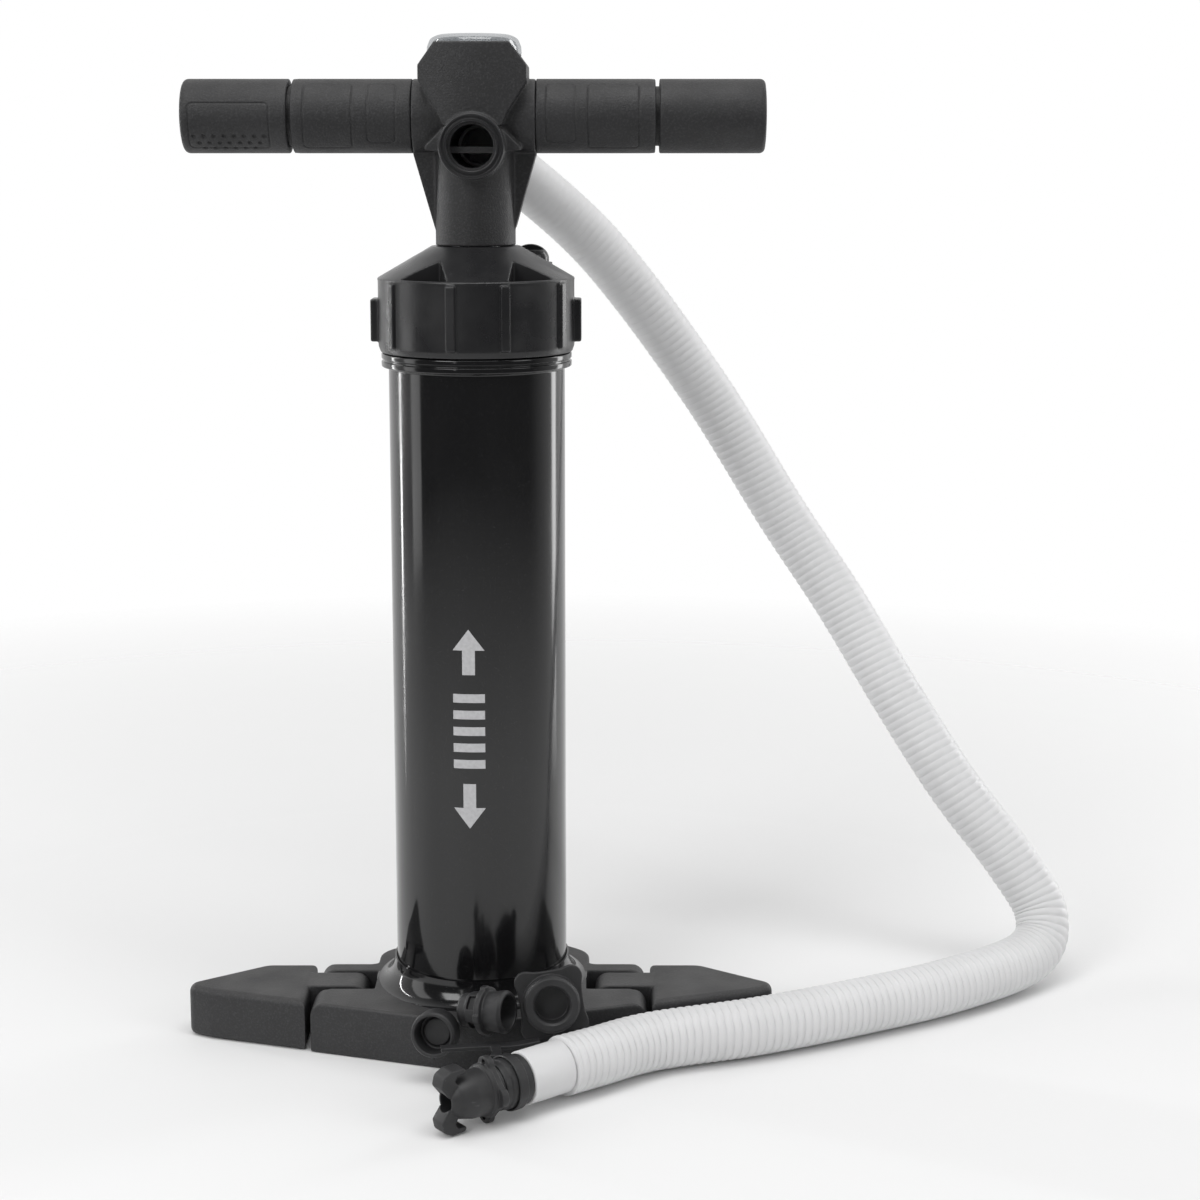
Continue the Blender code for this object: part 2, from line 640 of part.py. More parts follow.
def piston_flaps(handle):
    """Ring flaps inside the piston, one for each chamber."""
    outer, inner, thick = 0.0300, 0.0160, 0.0015
    for name, body_name, low, seat in (
            ("piston_flap_lower", "piston_valve_down", PISTON_Z + 0.0028, 0.0),
            ("piston_flap_upper", "piston_valve_up", PISTON_Z + 0.0162, thick)):
        body = body_empty(body_name, (0.0, 0.0, low + seat), handle)
        high = low + thick
        turned(name, [(outer, high), (outer, low), (inner, low), (inner, high)], RUBBER, body, ring=True)


# ---------------------------------------------------------------- handle

def handle_solid():
    """The whole moulded handle as one helper; the two shells are its halves."""
    head = [(-0.0205, 0.5725), (-0.0298, 0.5600), (-0.0298, 0.5514), (-0.0192, 0.5349), (-0.0160, 0.5276),
            (0.0160, 0.5276), (0.0192, 0.5349), (0.0298, 0.5514), (0.0298, 0.5600), (0.0205, 0.5725)]
    solid = as_helper(prism("handle_solid", head, -0.040, 0.040, None, upright=True))
    front = arc((0.0, 0.0925 - HEAD_DEPTH), 0.0925, -110, -70, 8)
    plan = front + [(-x, -y) for x, y in front]
    boolean(solid, as_helper(prism("head_plan", plan, 0.50, 0.60, None)), "INTERSECT")
    gusset = [(-NECK_RADIUS, 0.4720), (NECK_RADIUS, 0.4720), (0.0340, 0.5120), (0.0340, 0.5200),
              (-0.0340, 0.5200), (-0.0340, 0.5120)]
    middle = (0, 0)
    bar = along_x(z=BAR_Z)
    branch = along_y(z=PORT_Z)
    core_end = BAR_END_X - 0.004
    join(solid, cylinder("neck_column", NECK_RADIUS, NECK_BOTTOM_Z, 0.5450, middle, steps=ROUND_STEPS),
         as_helper(prism("neck_gusset", gusset, -0.0050, 0.0140, None, upright=True)),
         cylinder("bar_core", BAR_CORE_RADIUS, -core_end, core_end, middle, bar, ROUND_STEPS),
         cylinder("bar_hub", GRIP_RADIUS, -HUB_HALF, HUB_HALF, middle, bar, ROUND_STEPS),
         cylinder("port_boss", PORT_RADIUS, FRONT_PORT_Y, REAR_PORT_Y, middle, branch, ROUND_STEPS))
    room = GAUGE_RADIUS + FIT
    cut(solid, cylinder("manifold_room", 0.0183, 0.4500, 0.5413, middle, steps=ROUND_STEPS),
        cylinder("branch_room", 0.0140, -0.0500, 0.0500, middle, branch, BRANCH_STEPS),
        cylinder("gauge_room", room, GAUGE_FLOOR_Z, 0.6000, middle, steps=ROUND_STEPS),
        cylinder("gauge_duct", 0.0045, 0.5350, 0.5600, middle, steps=16))
    for number, (x, z, head_y) in enumerate(HANDLE_SCREWS, 1):
        lay = along_y(x, 0, z)
        cut(solid, cylinder(f"screw_hole_{number}", 0.0019, -0.0042, 0.0300, middle, lay, HOLE_STEPS),
            cylinder(f"screw_sink_{number}", 0.0036, head_y - 0.0030, 0.0500, middle, lay, HOLE_STEPS))
    return solid


def handle_shells(body):
    solid = handle_solid()
    depth = 0.060
    for name, sign in (("handle_front", -1), ("handle_rear", 1)):
        half = box(name, (0.40, depth, 0.20), (0.0, sign * (depth / 2 + FIT / 2), 0.52), MATTE, body)
        boolean(half, solid, "INTERSECT")


def handle_screws(body):
    for number, (x, z, head_y) in enumerate(HANDLE_SCREWS, 1):
        profile = [(0.0, head_y), (0.0031, head_y), (0.0031, head_y - 0.0025), (0.0016, head_y - 0.0025),
                   (0.0016, -0.0035), (0.0, -0.0035)]
        turned(f"handle_screw_{number}", profile, STEEL, body, steps=HOLE_STEPS, matrix=along_y(x, 0, z))


def grips(body):
    """Inner sleeves and closed outer sleeves that slide over the bar core."""
    inner = BAR_CORE_RADIUS + FIT
    edge = GRIP_CHAMFER
    for side_name, turn in (("left", math.pi), ("right", 0.0)):
        matrix = Matrix.Rotation(turn, 4, "Z") @ along_x(z=BAR_Z)
        low, high = HUB_HALF + FIT, GROOVE_X - GROOVE_HALF
        sleeve = [(GRIP_RADIUS - edge, high), (GRIP_RADIUS, high - edge), (GRIP_RADIUS, low),
                  (inner, low), (inner, high)]
        turned(f"grip_inner_{side_name}", sleeve, MATTE, body, True, ROUND_STEPS, matrix)
        low, high = GROOVE_X + GROOVE_HALF, BAR_END_X
        floor = BAR_END_X - 0.004 + FIT
        cup = [(0.0, high), (GRIP_RADIUS - 0.003, high), (GRIP_RADIUS - 0.0009, high - 0.0009),
               (GRIP_RADIUS, high - 0.003), (GRIP_RADIUS, low + edge), (GRIP_RADIUS - edge, low),
               (inner, low), (inner, floor), (0.0, floor)]
        turned(f"grip_outer_{side_name}", cup, MATTE, body, False, ROUND_STEPS, matrix)


def air_manifold(body):
    """T-shaped air duct inside the handle, from the rod to both ports and the gauge."""
    profile = [(0.0180, 0.5410), (0.0180, 0.4620), (0.0143, 0.4620), (0.0143, 0.4997),
               (0.0110, 0.4997), (0.0110, 0.5360), (0.0020, 0.5360), (0.0020, 0.5410)]
    duct = turned("air_manifold", profile, MATTE, body, ring=True)
    middle = (0, 0)
    lay = along_y(z=PORT_Z)
    low, high = FRONT_PORT_Y + 0.001, REAR_PORT_Y - 0.001
    join(duct, cylinder("manifold_branch", 0.0137, low, high, middle, lay, BRANCH_STEPS))
    cut(duct, cylinder("manifold_bore", 0.0120, -0.05, 0.05, middle, lay, BRANCH_STEPS),
        cylinder("manifold_riser", 0.0105, 0.4900, 0.5355, middle))
    bar_centre = (0.0, FRONT_PORT_Y + 0.008, PORT_Z - 0.002)
    join(duct, as_helper(box("port_bar", (0.0250, 0.0040, 0.0035), bar_centre, None)))


def ports(body):
    """Trim rings of the front (deflate) port and the rear (hose) port."""
    bore = PORT_BORE + FIT
    edge = 0.0012
    rim = PORT_RADIUS - edge
    depth = 0.0040
    for name, low in (("port_ring_front", FRONT_PORT_Y - FIT - depth), ("port_ring_rear", REAR_PORT_Y + FIT)):
        high = low + depth
        loop = [(rim, high), (PORT_RADIUS, high - edge), (PORT_RADIUS, low + edge), (rim, low),
                (bore, low), (bore, high)]
        turned(name, loop, SATIN, body, True, ROUND_STEPS, along_y(z=PORT_Z))


def gauge(body):
    """Pressure gauge set in the top of the handle: cup, dial, needle, seal and lens."""
    low, high = GAUGE_FLOOR_Z + FIT, 0.5650
    floor = low + 0.0016
    cup = [(GAUGE_RADIUS, high), (GAUGE_RADIUS, low), (0.0020, low), (0.0020, floor),
           (0.0248, floor), (0.0248, high)]
    turned("gauge_housing", cup, SATIN, body, ring=True, steps=ROUND_STEPS)
    top = DIAL_Z + 0.001
    dial = [(0.0245, top), (0.0245, DIAL_Z), (0.0012, DIAL_Z), (0.0012, top)]
    turned("gauge_dial", dial, WHITE, body, ring=True)
    seal = [(0.0262, 0.5663), (0.0262, 0.5653), (0.0250, 0.5653), (0.0250, 0.5663)]
    turned("gauge_seal", seal, RUBBER, body, ring=True)
    low, high = LENS_Z
    outer = [(0.0, high), (0.0175, high - 0.0003), (0.0230, high - 0.0028),
             (GAUGE_RADIUS, high - 0.0085), (GAUGE_RADIUS, low)]
    inner = [(0.0244, low), (0.0244, high - 0.0090), (0.0215, high - 0.0044),
             (0.0170, high - 0.0021), (0.0, high - 0.0018)]
    turned("gauge_lens", outer + inner, CLEAR, body, steps=ROUND_STEPS)


def gauge_needle(handle):
    body = body_empty("needle", (0.0, 0.0, DIAL_Z), handle)
    top, shoulder, bottom = DIAL_Z + 0.0034, DIAL_Z + 0.0014, DIAL_Z - 0.0035
    profile = [(0.0, top), (0.0028, top), (0.0028, shoulder), (0.0008, shoulder), (0.0008, bottom),
               (0.0, bottom)]
    needle = turned("gauge_needle", profile, RED, body, steps=16)
    pointer = [(-0.0130, -0.0142), (0.0012, -0.0012), (0.0050, 0.0032), (0.0032, 0.0050),
               (-0.0012, 0.0012), (-0.0142, -0.0130)]
    blade = prism("needle_pointer", pointer, DIAL_Z + 0.0018, DIAL_Z + 0.0026, None)
    join(needle, as_helper(blade))


# ---------------------------------------------------------------- hose

def spline_through(points, steps):
    """Catmull-Rom samples through the points."""
    dots = [Vector(p) for p in points]
    dots = [dots[0] * 2 - dots[1]] + dots + [dots[-1] * 2 - dots[-2]]
    samples = []
    for i in range(1, len(dots) - 2):
        a, b, c, d = dots[i - 1:i + 3]
        for step in range(steps):
            t = step / steps
            bend = 2 * a - 5 * b + 4 * c - d
            twist = 3 * b - a - 3 * c + d
            samples.append(0.5 * (2 * b + (c - a) * t + bend * t ** 2 + twist * t ** 3))
    return samples + [dots[-2]]


def hose():
    """Flexible hose from the rear port to the valve end, an open tube with a wall."""
    curve = bpy.data.curves.new("hose", "CURVE")
    curve.dimensions = "3D"
    curve.bevel_depth = HOSE_RADIUS
    curve.bevel_resolution = 2
    spline = curve.splines.new("POLY")
    samples = spline_through(HOSE_PATH, 2)
    spline.points.add(len(samples) - 1)
    for point, place_at in zip(spline.points, samples):
        point.co = (*place_at, 1.0)
    source = bpy.data.objects.new("hose_line", curve)
    PARTS.objects.link(source)
    tube = place("hose", mesh_from_curve(source, "hose"), WHITE_HOSE, BASE)
    smooth(tube.data)
    wall = tube.modifiers.new("Wall", "SOLIDIFY")
    wall.thickness = HOSE_WALL
    wall.offset = -1


def hose_handle_end(handle):
    """White cuff and the nut that locks it to the rear port."""
    lay = along_y(z=PORT_Z)
    neck = CUFF_NECK_RADIUS
    cuff = [(0.0150, 0.0835), (0.0172, 0.0825), (0.0172, 0.0620), (0.0160, 0.0605), (neck, 0.0605),
            (neck, 0.0400), (0.0100, 0.0400), (0.0100, 0.0835)]
    turned("hose_cuff_upper", cuff, WHITE_HOSE, handle, ring=True, matrix=lay)
    body = body_empty("hose_nut_axis", (0.0, NUT_Y, PORT_Z), handle)
    low, high = 0.0426, 0.0602
    bore = 0.0128
    ring = [(0.0162, high), (0.0175, high - 0.0012), (0.0175, low + 0.0014), (0.0162, low),
            (bore, low), (bore, high)]
    nut = turned("hose_nut", ring, SATIN, body, ring=True, matrix=lay)
    for number, angle in enumerate((45, 135, 225, 315), 1):
        rib = box(f"hose_nut_rib_{number}", (0.0040, 0.0040, 0.0130), (0.0172, 0.0, 0.0515), None,
                  matrix=lay @ about_z(angle))
        join(nut, as_helper(rib))


# ---------------------------------------------------------------- valve end

def fitting_matrix():
    """Frame of the valve end: local Z along the hose's exit, local X up."""
    axis = Vector(FITTING_AXIS).normalized()
    up = Vector((0, 0, 1))
    side = axis.cross(up)
    rotation = Matrix((up, side, axis)).transposed().to_4x4()
    return Matrix.Translation(FITTING_ORIGIN) @ rotation


def valve_cuffs():
    matrix = fitting_matrix()
    white = [(0.0140, -0.0003), (0.0146, -0.0010), (0.0146, -0.0270), (0.0138, -0.0274),
             (0.0110, -0.0274), (0.0110, -0.0003)]
    turned("hose_cuff_lower", white, WHITE_HOSE, BASE, ring=True, matrix=matrix)
    black = [(0.0132, 0.0180), (0.0132, 0.0140), (0.0136, 0.0135), (0.0136, 0.0000),
             (0.0100, 0.0000), (0.0100, 0.0180)]
    turned("connector_cuff", black, RUBBER, BASE, ring=True, matrix=matrix)


def rounded_square(name, half, corner, low, high, matrix):
    """Flange helper about local Z."""
    corners = [(half, half, corner), (-half, half, corner), (-half, -half, corner), (half, -half, corner)]
    flange = as_helper(prism(name, rounded(corners), low, high, None))
    flange.matrix_basis = matrix
    return flange


def valve_fitting():
    """Quarter-turn valve fitting: rounded square flange, domed nose and two hooks."""
    matrix = fitting_matrix()
    body = body_empty("fitting", matrix @ Vector((0, 0, 0.0225)))
    nose = [(0.0, 0.0400), (0.0060, 0.0392), (0.0105, 0.0360), (0.0125, 0.0310), (0.0128, 0.0262),
            (0.0128, 0.0183), (0.0, 0.0183)]
    made = turned("valve_fitting", nose, RUBBER, body, matrix=matrix)
    join(made, rounded_square("fitting_flange", 0.0150, 0.005, 0.0205, 0.0245, matrix))
    claw = ((0.0080, 0.0240), (0.0150, 0.0240), (0.0165, 0.0380), (0.0150, 0.0500), (0.0115, 0.0545),
            (0.0070, 0.0540), (0.0075, 0.0505), (0.0105, 0.0490), (0.0118, 0.0400), (0.0080, 0.0360))
    for name, sign in (("upper", 1), ("lower", -1)):
        outline = [(sign * x, z) for x, z in claw]
        hook = as_helper(prism(f"fitting_hook_{name}", outline, -0.0045, 0.0045, None, upright=True))
        hook.matrix_basis = matrix
        join(made, hook)
    cut(made, cylinder("fitting_bore", 0.0060, 0.0100, 0.0600, (0, 0), matrix))
    seal_ring("fitting_seal", 0.0048, 0.0008, 0.0370, SILICONE, body, matrix=matrix)


def adapter_set():
    """Strap on the cuff with the three spare valve adapters."""
    matrix = fitting_matrix()
    body = body_empty("adapters", matrix @ Vector((0, 0, 0.008)))
    loop = [(0.0162, 0.0105), (0.0162, 0.0050), (0.0139, 0.0050), (0.0139, 0.0105)]
    strap = turned("adapter_strap", loop, RUBBER, body, True, BRANCH_STEPS, matrix)
    arm = [(0.0109, -0.1228), (0.0144, -0.1200), (0.0165, -0.1035), (0.0380, -0.0970),
           (0.0380, -0.0935), (-0.0150, -0.0995), (-0.0200, -0.1015), (-0.0170, -0.1045),
           (0.0110, -0.1035)]
    join(strap, as_helper(prism("strap_arm", arm, 0.0240, 0.0268, None)))
    adapter_cup(body)
    adapter_double(body)
    adapter_square(body)


def facing(location, direction):
    """Matrix at a point whose local Z looks along a direction."""
    turn = Vector(direction).to_track_quat("Z", "Y").to_matrix().to_4x4()
    return Matrix.Translation(location) @ turn


def adapter_cup(body):
    profile = [(0.0, -0.0040), (0.0105, -0.0040), (0.0105, 0.0060), (0.0118, 0.0060), (0.0130, 0.0050),
               (0.0130, -0.0050), (0.0110, -0.0062), (0.0, -0.0062)]
    matrix = facing((-0.0215, -0.0885, 0.0290), (-0.25, -0.95, 0.12))
    turned("adapter_cup", profile, RUBBER, body, matrix=matrix)


def adapter_double(body):
    loop = [(0.0092, 0.0125), (0.0105, 0.0110), (0.0095, 0.0025), (0.0115, 0.0020), (0.0115, -0.0010),
            (0.0088, -0.0015), (0.0074, -0.0125), (0.0050, -0.0125), (0.0060, 0.0000), (0.0082, 0.0125)]
    matrix = facing((0.0065, -0.0860, 0.0410), (0.88, -0.40, 0.10))
    turned("adapter_double", loop, RUBBER, body, ring=True, matrix=matrix)


def adapter_square(body):
    matrix = facing((0.0430, -0.0825, 0.0440), (0.05, -0.98, 0.20))
    bore = 0.0098
    ring = [(0.0145, 0.0080), (0.0158, 0.0068), (0.0158, -0.0040), (bore, -0.0040), (bore, 0.0080)]
    made = turned("adapter_square", ring, RUBBER, body, True, BRANCH_STEPS, matrix)
    join(made, rounded_square("adapter_flange", 0.0178, 0.006, -0.0045, -0.0010, matrix))
    cut(made, cylinder("adapter_bore", bore, -0.02, 0.0300, (0, 0), matrix))


# ---------------------------------------------------------------- assembly

clear_scene()
PARTS = new_collection("foot_braced_air_pump")
HELPERS = new_collection("cutters")
MATTE = material("charcoal_plastic", (0.035, 0.035, 0.037), 0.55)
SATIN = material("satin_black_plastic", (0.018, 0.018, 0.019), 0.35)
GLOSS = material("gloss_black_plastic", (0.010, 0.010, 0.011), 0.08)
RUBBER = material("black_rubber", (0.020, 0.020, 0.021), 0.60)
SILICONE = material("grey_silicone", (0.30, 0.30, 0.31), 0.50)
WHITE = material("white_print_plastic", (0.80, 0.80, 0.80), 0.40)
WHITE_HOSE = material("white_hose_plastic", (0.74, 0.74, 0.75), 0.42)
STEEL = material("zinc_steel", (0.55, 0.55, 0.56), 0.30, 1.0)
ALUMINIUM = material("anodised_aluminium", (0.62, 0.62, 0.64), 0.25, 1.0)
CLEAR = material("clear_polycarbonate", (0.95, 0.96, 0.97), 0.03, 0.0, 1.0)
RED = material("red_needle_plastic", (0.60, 0.02, 0.02), 0.40)

BASE = body_empty("base", (0.0, 0.0, 0.0))
HANDLE = body_empty("handle", (0.0, 0.0, 0.0))

base_block()
base_screws()
for plate_side, plate_sign in (("left", -1), ("right", 1)):
    hinge_pin(plate_side, plate_sign)
    foot_plate(plate_side, plate_sign)
barrel()
barrel_foot()
lower_intake_valve()
cap()
cap_seals()
upper_intake_valve()
selector_knob()
piston_rod(HANDLE)
piston(HANDLE)
rod_nut(HANDLE)
piston_flaps(HANDLE)
handle_shells(HANDLE)
handle_screws(HANDLE)
grips(HANDLE)
air_manifold(HANDLE)
ports(HANDLE)
gauge(HANDLE)
gauge_needle(HANDLE)
hose()
hose_handle_end(HANDLE)
valve_cuffs()
valve_fitting()
adapter_set()
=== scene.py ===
"""Looks of the foot-braced air pump: fine surfaces, materials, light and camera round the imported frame.

Metres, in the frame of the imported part: origin on the floor under the barrel, -Y to the front, +Z up.
"""

import json
from math import cos, hypot, pi, radians, sin, tan

import bmesh
import bpy
from mathutils import Matrix, Vector


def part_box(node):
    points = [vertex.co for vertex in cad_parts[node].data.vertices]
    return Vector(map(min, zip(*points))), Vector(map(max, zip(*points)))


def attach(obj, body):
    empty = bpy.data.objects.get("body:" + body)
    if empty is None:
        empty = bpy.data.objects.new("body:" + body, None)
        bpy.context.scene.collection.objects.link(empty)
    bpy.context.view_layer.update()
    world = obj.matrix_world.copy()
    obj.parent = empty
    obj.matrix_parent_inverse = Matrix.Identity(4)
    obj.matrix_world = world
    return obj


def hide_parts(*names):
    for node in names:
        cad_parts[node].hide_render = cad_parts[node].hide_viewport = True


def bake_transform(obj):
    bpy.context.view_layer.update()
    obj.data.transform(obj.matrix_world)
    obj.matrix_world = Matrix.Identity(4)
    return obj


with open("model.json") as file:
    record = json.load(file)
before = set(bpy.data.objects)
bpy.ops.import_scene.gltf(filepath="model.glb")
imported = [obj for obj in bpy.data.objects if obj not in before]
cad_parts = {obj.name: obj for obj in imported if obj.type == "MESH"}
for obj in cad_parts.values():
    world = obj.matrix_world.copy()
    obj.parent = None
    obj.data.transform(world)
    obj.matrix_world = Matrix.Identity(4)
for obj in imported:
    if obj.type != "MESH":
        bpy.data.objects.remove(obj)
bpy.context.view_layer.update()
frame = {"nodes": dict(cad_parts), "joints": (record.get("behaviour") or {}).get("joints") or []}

JOINTS = {joint["name"]: joint for joint in frame["joints"]}


def low(node):
    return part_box(node)[0]


def high(node):
    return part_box(node)[1]


def joint_place(name):
    return Vector(JOINTS[name]["pos_m"])


# Barrel and cap
FLANGE_RADIUS = high("barrel").x
BARREL_RADIUS = FLANGE_RADIUS - 0.004
BARREL_BORE = BARREL_RADIUS - 0.003
BARREL_TOP_Z = high("barrel").z
BARREL_FOOT_Z = low("barrel").z
FLANGE_TOP_Z = low("cap").z - 0.0005
FLANGE_BOTTOM_Z = FLANGE_TOP_Z - 0.0078
CAP_BOTTOM_Z = low("cap").z
CAP_TOP_Z = high("cap").z
CAP_SHOULDER_Z = CAP_TOP_Z - 0.0181
CAP_RADIUS = 0.0555
CAP_NECK_RADIUS = 0.0248
CAP_RIB_ANGLES = (15.4, 57, 123, 164.6, -15.4, -57, -123, -164.6)
CAP_TURN = 3.9
SELECTOR = joint_place("selector_turn")

# Base and foot plates
BASE_HEIGHT = high("foot_plate_left").z
SOCKET_TOP_Z = high("base_block").z
EAR_END_X = high("base_block").x
BASE_BACK_Y = high("base_block").y
FRONT_APEX_Y = low("base_block").y
FRONT_SWEEP = 0.315
PLATE_BACK_Y = high("foot_plate_left").y
HINGE = joint_place("right_foot_fold")
PLATE_INNER_X = EAR_END_X + 0.003
PLATE_TIP_X = high("foot_plate_right").x
NOTCH_X = 0.062
NOTCH_Y = (-0.024, 0.0055)
PIN_BORE = 0.0034

# Handle
BAR_LOW, BAR_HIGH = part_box("grip_outer_right")
BAR_Z = (BAR_LOW.z + BAR_HIGH.z) / 2
GRIP_RADIUS = (BAR_HIGH.z - BAR_LOW.z) / 2
BAR_END_X = BAR_HIGH.x
BAR_CORE_RADIUS = GRIP_RADIUS - 0.004
HUB_HALF = low("grip_inner_right").x - 0.0003
NECK_RADIUS = 0.0225
NECK_BOTTOM_Z = low("handle_front").z
HEAD_TOP_Z = high("handle_front").z
HEAD_DEPTH = 0.031
PORT_Z = joint_place("hose_nut_turn").z
PORT_RADIUS = high("port_ring_front").x
FRONT_PORT_Y = high("port_ring_front").y + 0.0003
REAR_PORT_Y = low("port_ring_rear").y - 0.0003
DIAL_RADIUS = high("gauge_dial").x
GAUGE_RADIUS = high("gauge_housing").x
ROD_RADIUS = high("piston_rod").x
HANDLE_SCREWS = ("handle_screw_1", "handle_screw_2", "handle_screw_3", "handle_screw_4")

# Hose, from the rear port, out to the right, down to the floor and back to the front
HOSE_RADIUS = 0.0165
HOSE_PITCH = 0.0048
HOSE_GROOVE = 0.001
HOSE_PATH = (
    (0.0, 0.078, 0.516),
    (0.001, 0.092, 0.5155),
    (0.01, 0.11, 0.507),
    (0.07, 0.142, 0.452),
    (0.135, 0.165, 0.365),
    (0.187, 0.16, 0.282),
    (0.224, 0.145, 0.227),
    (0.26, 0.125, 0.168),
    (0.294, 0.105, 0.116),
    (0.329, 0.09, 0.071),
    (0.347, 0.078, 0.04),
    (0.336, 0.058, 0.02),
    (0.283, 0.016, 0.0172),
    (0.22, -0.02, 0.017),
    (0.16, -0.049, 0.017),
    (0.1, -0.071, 0.017),
    (0.066, -0.096, 0.0178),
    (0.049, -0.1096, 0.0186),
)

# Valve end: the frame's local Z runs out of the hose and its local X points up
FITTING_AXIS = Vector(JOINTS["fitting_turn"]["axis"])
FITTING_ORIGIN = joint_place("fitting_turn") - FITTING_AXIS * 0.0225

# Facets round a turned shape
SMOOTH = 192
ROUND = 128
MEDIUM = 72


# ---------------------------------------------------------------- node helpers

def new_look(name, colour, roughness, metallic=0.0):
    """Material, its node tree and its Principled shader."""
    made = bpy.data.materials.new(name)
    made.use_nodes = True
    shader = made.node_tree.nodes["Principled BSDF"]
    shader.inputs["Base Color"].default_value = (*colour, 1.0)
    shader.inputs["Roughness"].default_value = roughness
    shader.inputs["Metallic"].default_value = metallic
    return made, made.node_tree, shader


def shade_of(colour, factor):
    return tuple(channel * factor for channel in colour)


def add_node(tree, kind, inputs=None, **settings):
    made = tree.nodes.new("ShaderNode" + kind)
    for key, value in settings.items():
        setattr(made, key, value)
    for key, value in (inputs or {}).items():
        if isinstance(value, bpy.types.NodeSocket):
            tree.links.new(value, made.inputs[key])
        else:
            made.inputs[key].default_value = value
    return made


def noise(tree, scale, detail=3.0, stretch=(1.0, 1.0, 1.0), distortion=0.0):
    """Noise over the object's own coordinates; scale is in cycles per metre."""
    place = add_node(tree, "TexCoord").outputs["Object"]
    mapping = add_node(tree, "Mapping", {"Vector": place, "Scale": stretch})
    inputs = {"Vector": mapping.outputs["Vector"], "Scale": scale, "Detail": detail, "Distortion": distortion}
    return add_node(tree, "TexNoise", inputs).outputs["Fac"]


def remap(tree, value, start, end, to_start, to_end):
    inputs = {"Value": value, "From Min": start, "From Max": end, "To Min": to_start, "To Max": to_end}
    return add_node(tree, "MapRange", inputs).outputs["Result"]


def patches(tree, scale, detail, start, end, to_start, to_end):
    """Cloudy variation: noise between start and end, stretched over another range."""
    return remap(tree, noise(tree, scale, detail), start, end, to_start, to_end)


def blend_colour(tree, share, first, second):
    """Colour between two, where each is a colour or a socket."""
    mix = add_node(tree, "Mix", data_type="RGBA")
    tree.links.new(share, mix.inputs["Factor"])
    for socket, value in ((mix.inputs[6], first), (mix.inputs[7], second)):
        if isinstance(value, bpy.types.NodeSocket):
            tree.links.new(value, socket)
        else:
            socket.default_value = (*value, 1.0)
    return mix.outputs[2]


def bump(tree, height, distance, strength=1.0, below=None):
    inputs = {"Height": height, "Distance": distance, "Strength": strength}
    if below:
        inputs["Normal"] = below
    return add_node(tree, "Bump", inputs).outputs["Normal"]


def edge_share(tree, start=0.515, end=0.58):
    """0 on flats and 1 on convex edges, where handling rubs the surface; the satin look also paints an edge
    highlight there.
    """
    point = add_node(tree, "NewGeometry").outputs["Pointiness"]
    return remap(tree, point, start, end, 0.0, 1.0)


def crease_shade_share(tree, start=0.49, end=0.43):
    """0 on flats and 1 in concave creases, where shade is painted."""
    point = add_node(tree, "NewGeometry").outputs["Pointiness"]
    return remap(tree, point, start, end, 0.0, 1.0)


def times(tree, first, second):
    inputs = {0: first, 1: second}
    return add_node(tree, "Math", inputs, operation="MULTIPLY").outputs[0]


def wire(tree, shader, sockets):
    """Links each socket to the shader's input of that name."""
    for key, socket in sockets.items():
        tree.links.new(socket, shader.inputs[key])


def dust_share(tree, amount):
    """Thin dust that settles in patches on surfaces that face up."""
    normal = add_node(tree, "NewGeometry").outputs["Normal"]
    up = add_node(tree, "SeparateXYZ", {"Vector": normal}).outputs["Z"]
    facing = remap(tree, up, 0.3, 1.0, 0.0, amount)
    return times(tree, facing, patches(tree, 60.0, 6.0, 0.35, 0.75, 0.2, 1.0))


# ---------------------------------------------------------------- materials

def textured_plastic(name, colour, roughness, grain=1.0):
    """Moulded plastic with a spark-eroded grain, faint mottling, rubbed edges and a little dust."""
    made, tree, shader = new_look(name, colour, roughness)
    mottling = patches(tree, 24.0, 4.0, 0.3, 0.7, 0.0, 1.0)
    mottled = blend_colour(tree, mottling, shade_of(colour, 0.84), shade_of(colour, 1.16))
    speckles = patches(tree, 900.0, 3.0, 0.48, 0.68, 0.0, min(1.0, 0.85 * grain))
    speckled = blend_colour(tree, speckles, mottled, shade_of(colour, 1.75))
    rubbing = times(tree, edge_share(tree), patches(tree, 180.0, 3.0, 0.3, 0.7, 0.15, 0.7))
    rubbed = blend_colour(tree, rubbing, speckled, shade_of(colour, 2.3))
    dusty = blend_colour(tree, dust_share(tree, 0.1), rubbed, (0.2, 0.19, 0.18))
    rough = patches(tree, 45.0, 5.0, 0.3, 0.7, roughness - 0.06, roughness + 0.08)
    fine = bump(tree, noise(tree, 1000.0, 3.0), 0.00022 * grain)
    broad = bump(tree, noise(tree, 260.0, 3.0), 0.0001, 0.6, fine)
    wire(tree, shader, {"Base Color": dusty, "Roughness": rough, "Normal": broad})
    return made


def satin_plastic(name, colour, roughness):
    """Smooth moulded plastic with a slight orange peel, handling smears and bright edges, partly rubbed wear
    and partly a painted highlight.
    """
    made, tree, shader = new_look(name, colour, roughness)
    # Bright edges: partly rubbed wear and partly a painted edge highlight.
    rubbing = times(tree, edge_share(tree, 0.52, 0.6), noise(tree, 220.0))
    worn_and_highlit_edges = blend_colour(tree, rubbing, colour, shade_of(colour, 4.5))
    dusty = blend_colour(tree, dust_share(tree, 0.06), worn_and_highlit_edges, (0.16, 0.16, 0.16))
    smears = patches(tree, 36.0, 4.0, 0.3, 0.7, roughness - 0.08, roughness + 0.14)
    peel = bump(tree, noise(tree, 420.0, 2.0), 0.00004)
    skin = bump(tree, noise(tree, 1600.0, 2.0), 0.000015, 1.0, peel)
    wire(tree, shader, {"Base Color": dusty, "Roughness": smears, "Normal": skin})
    return made


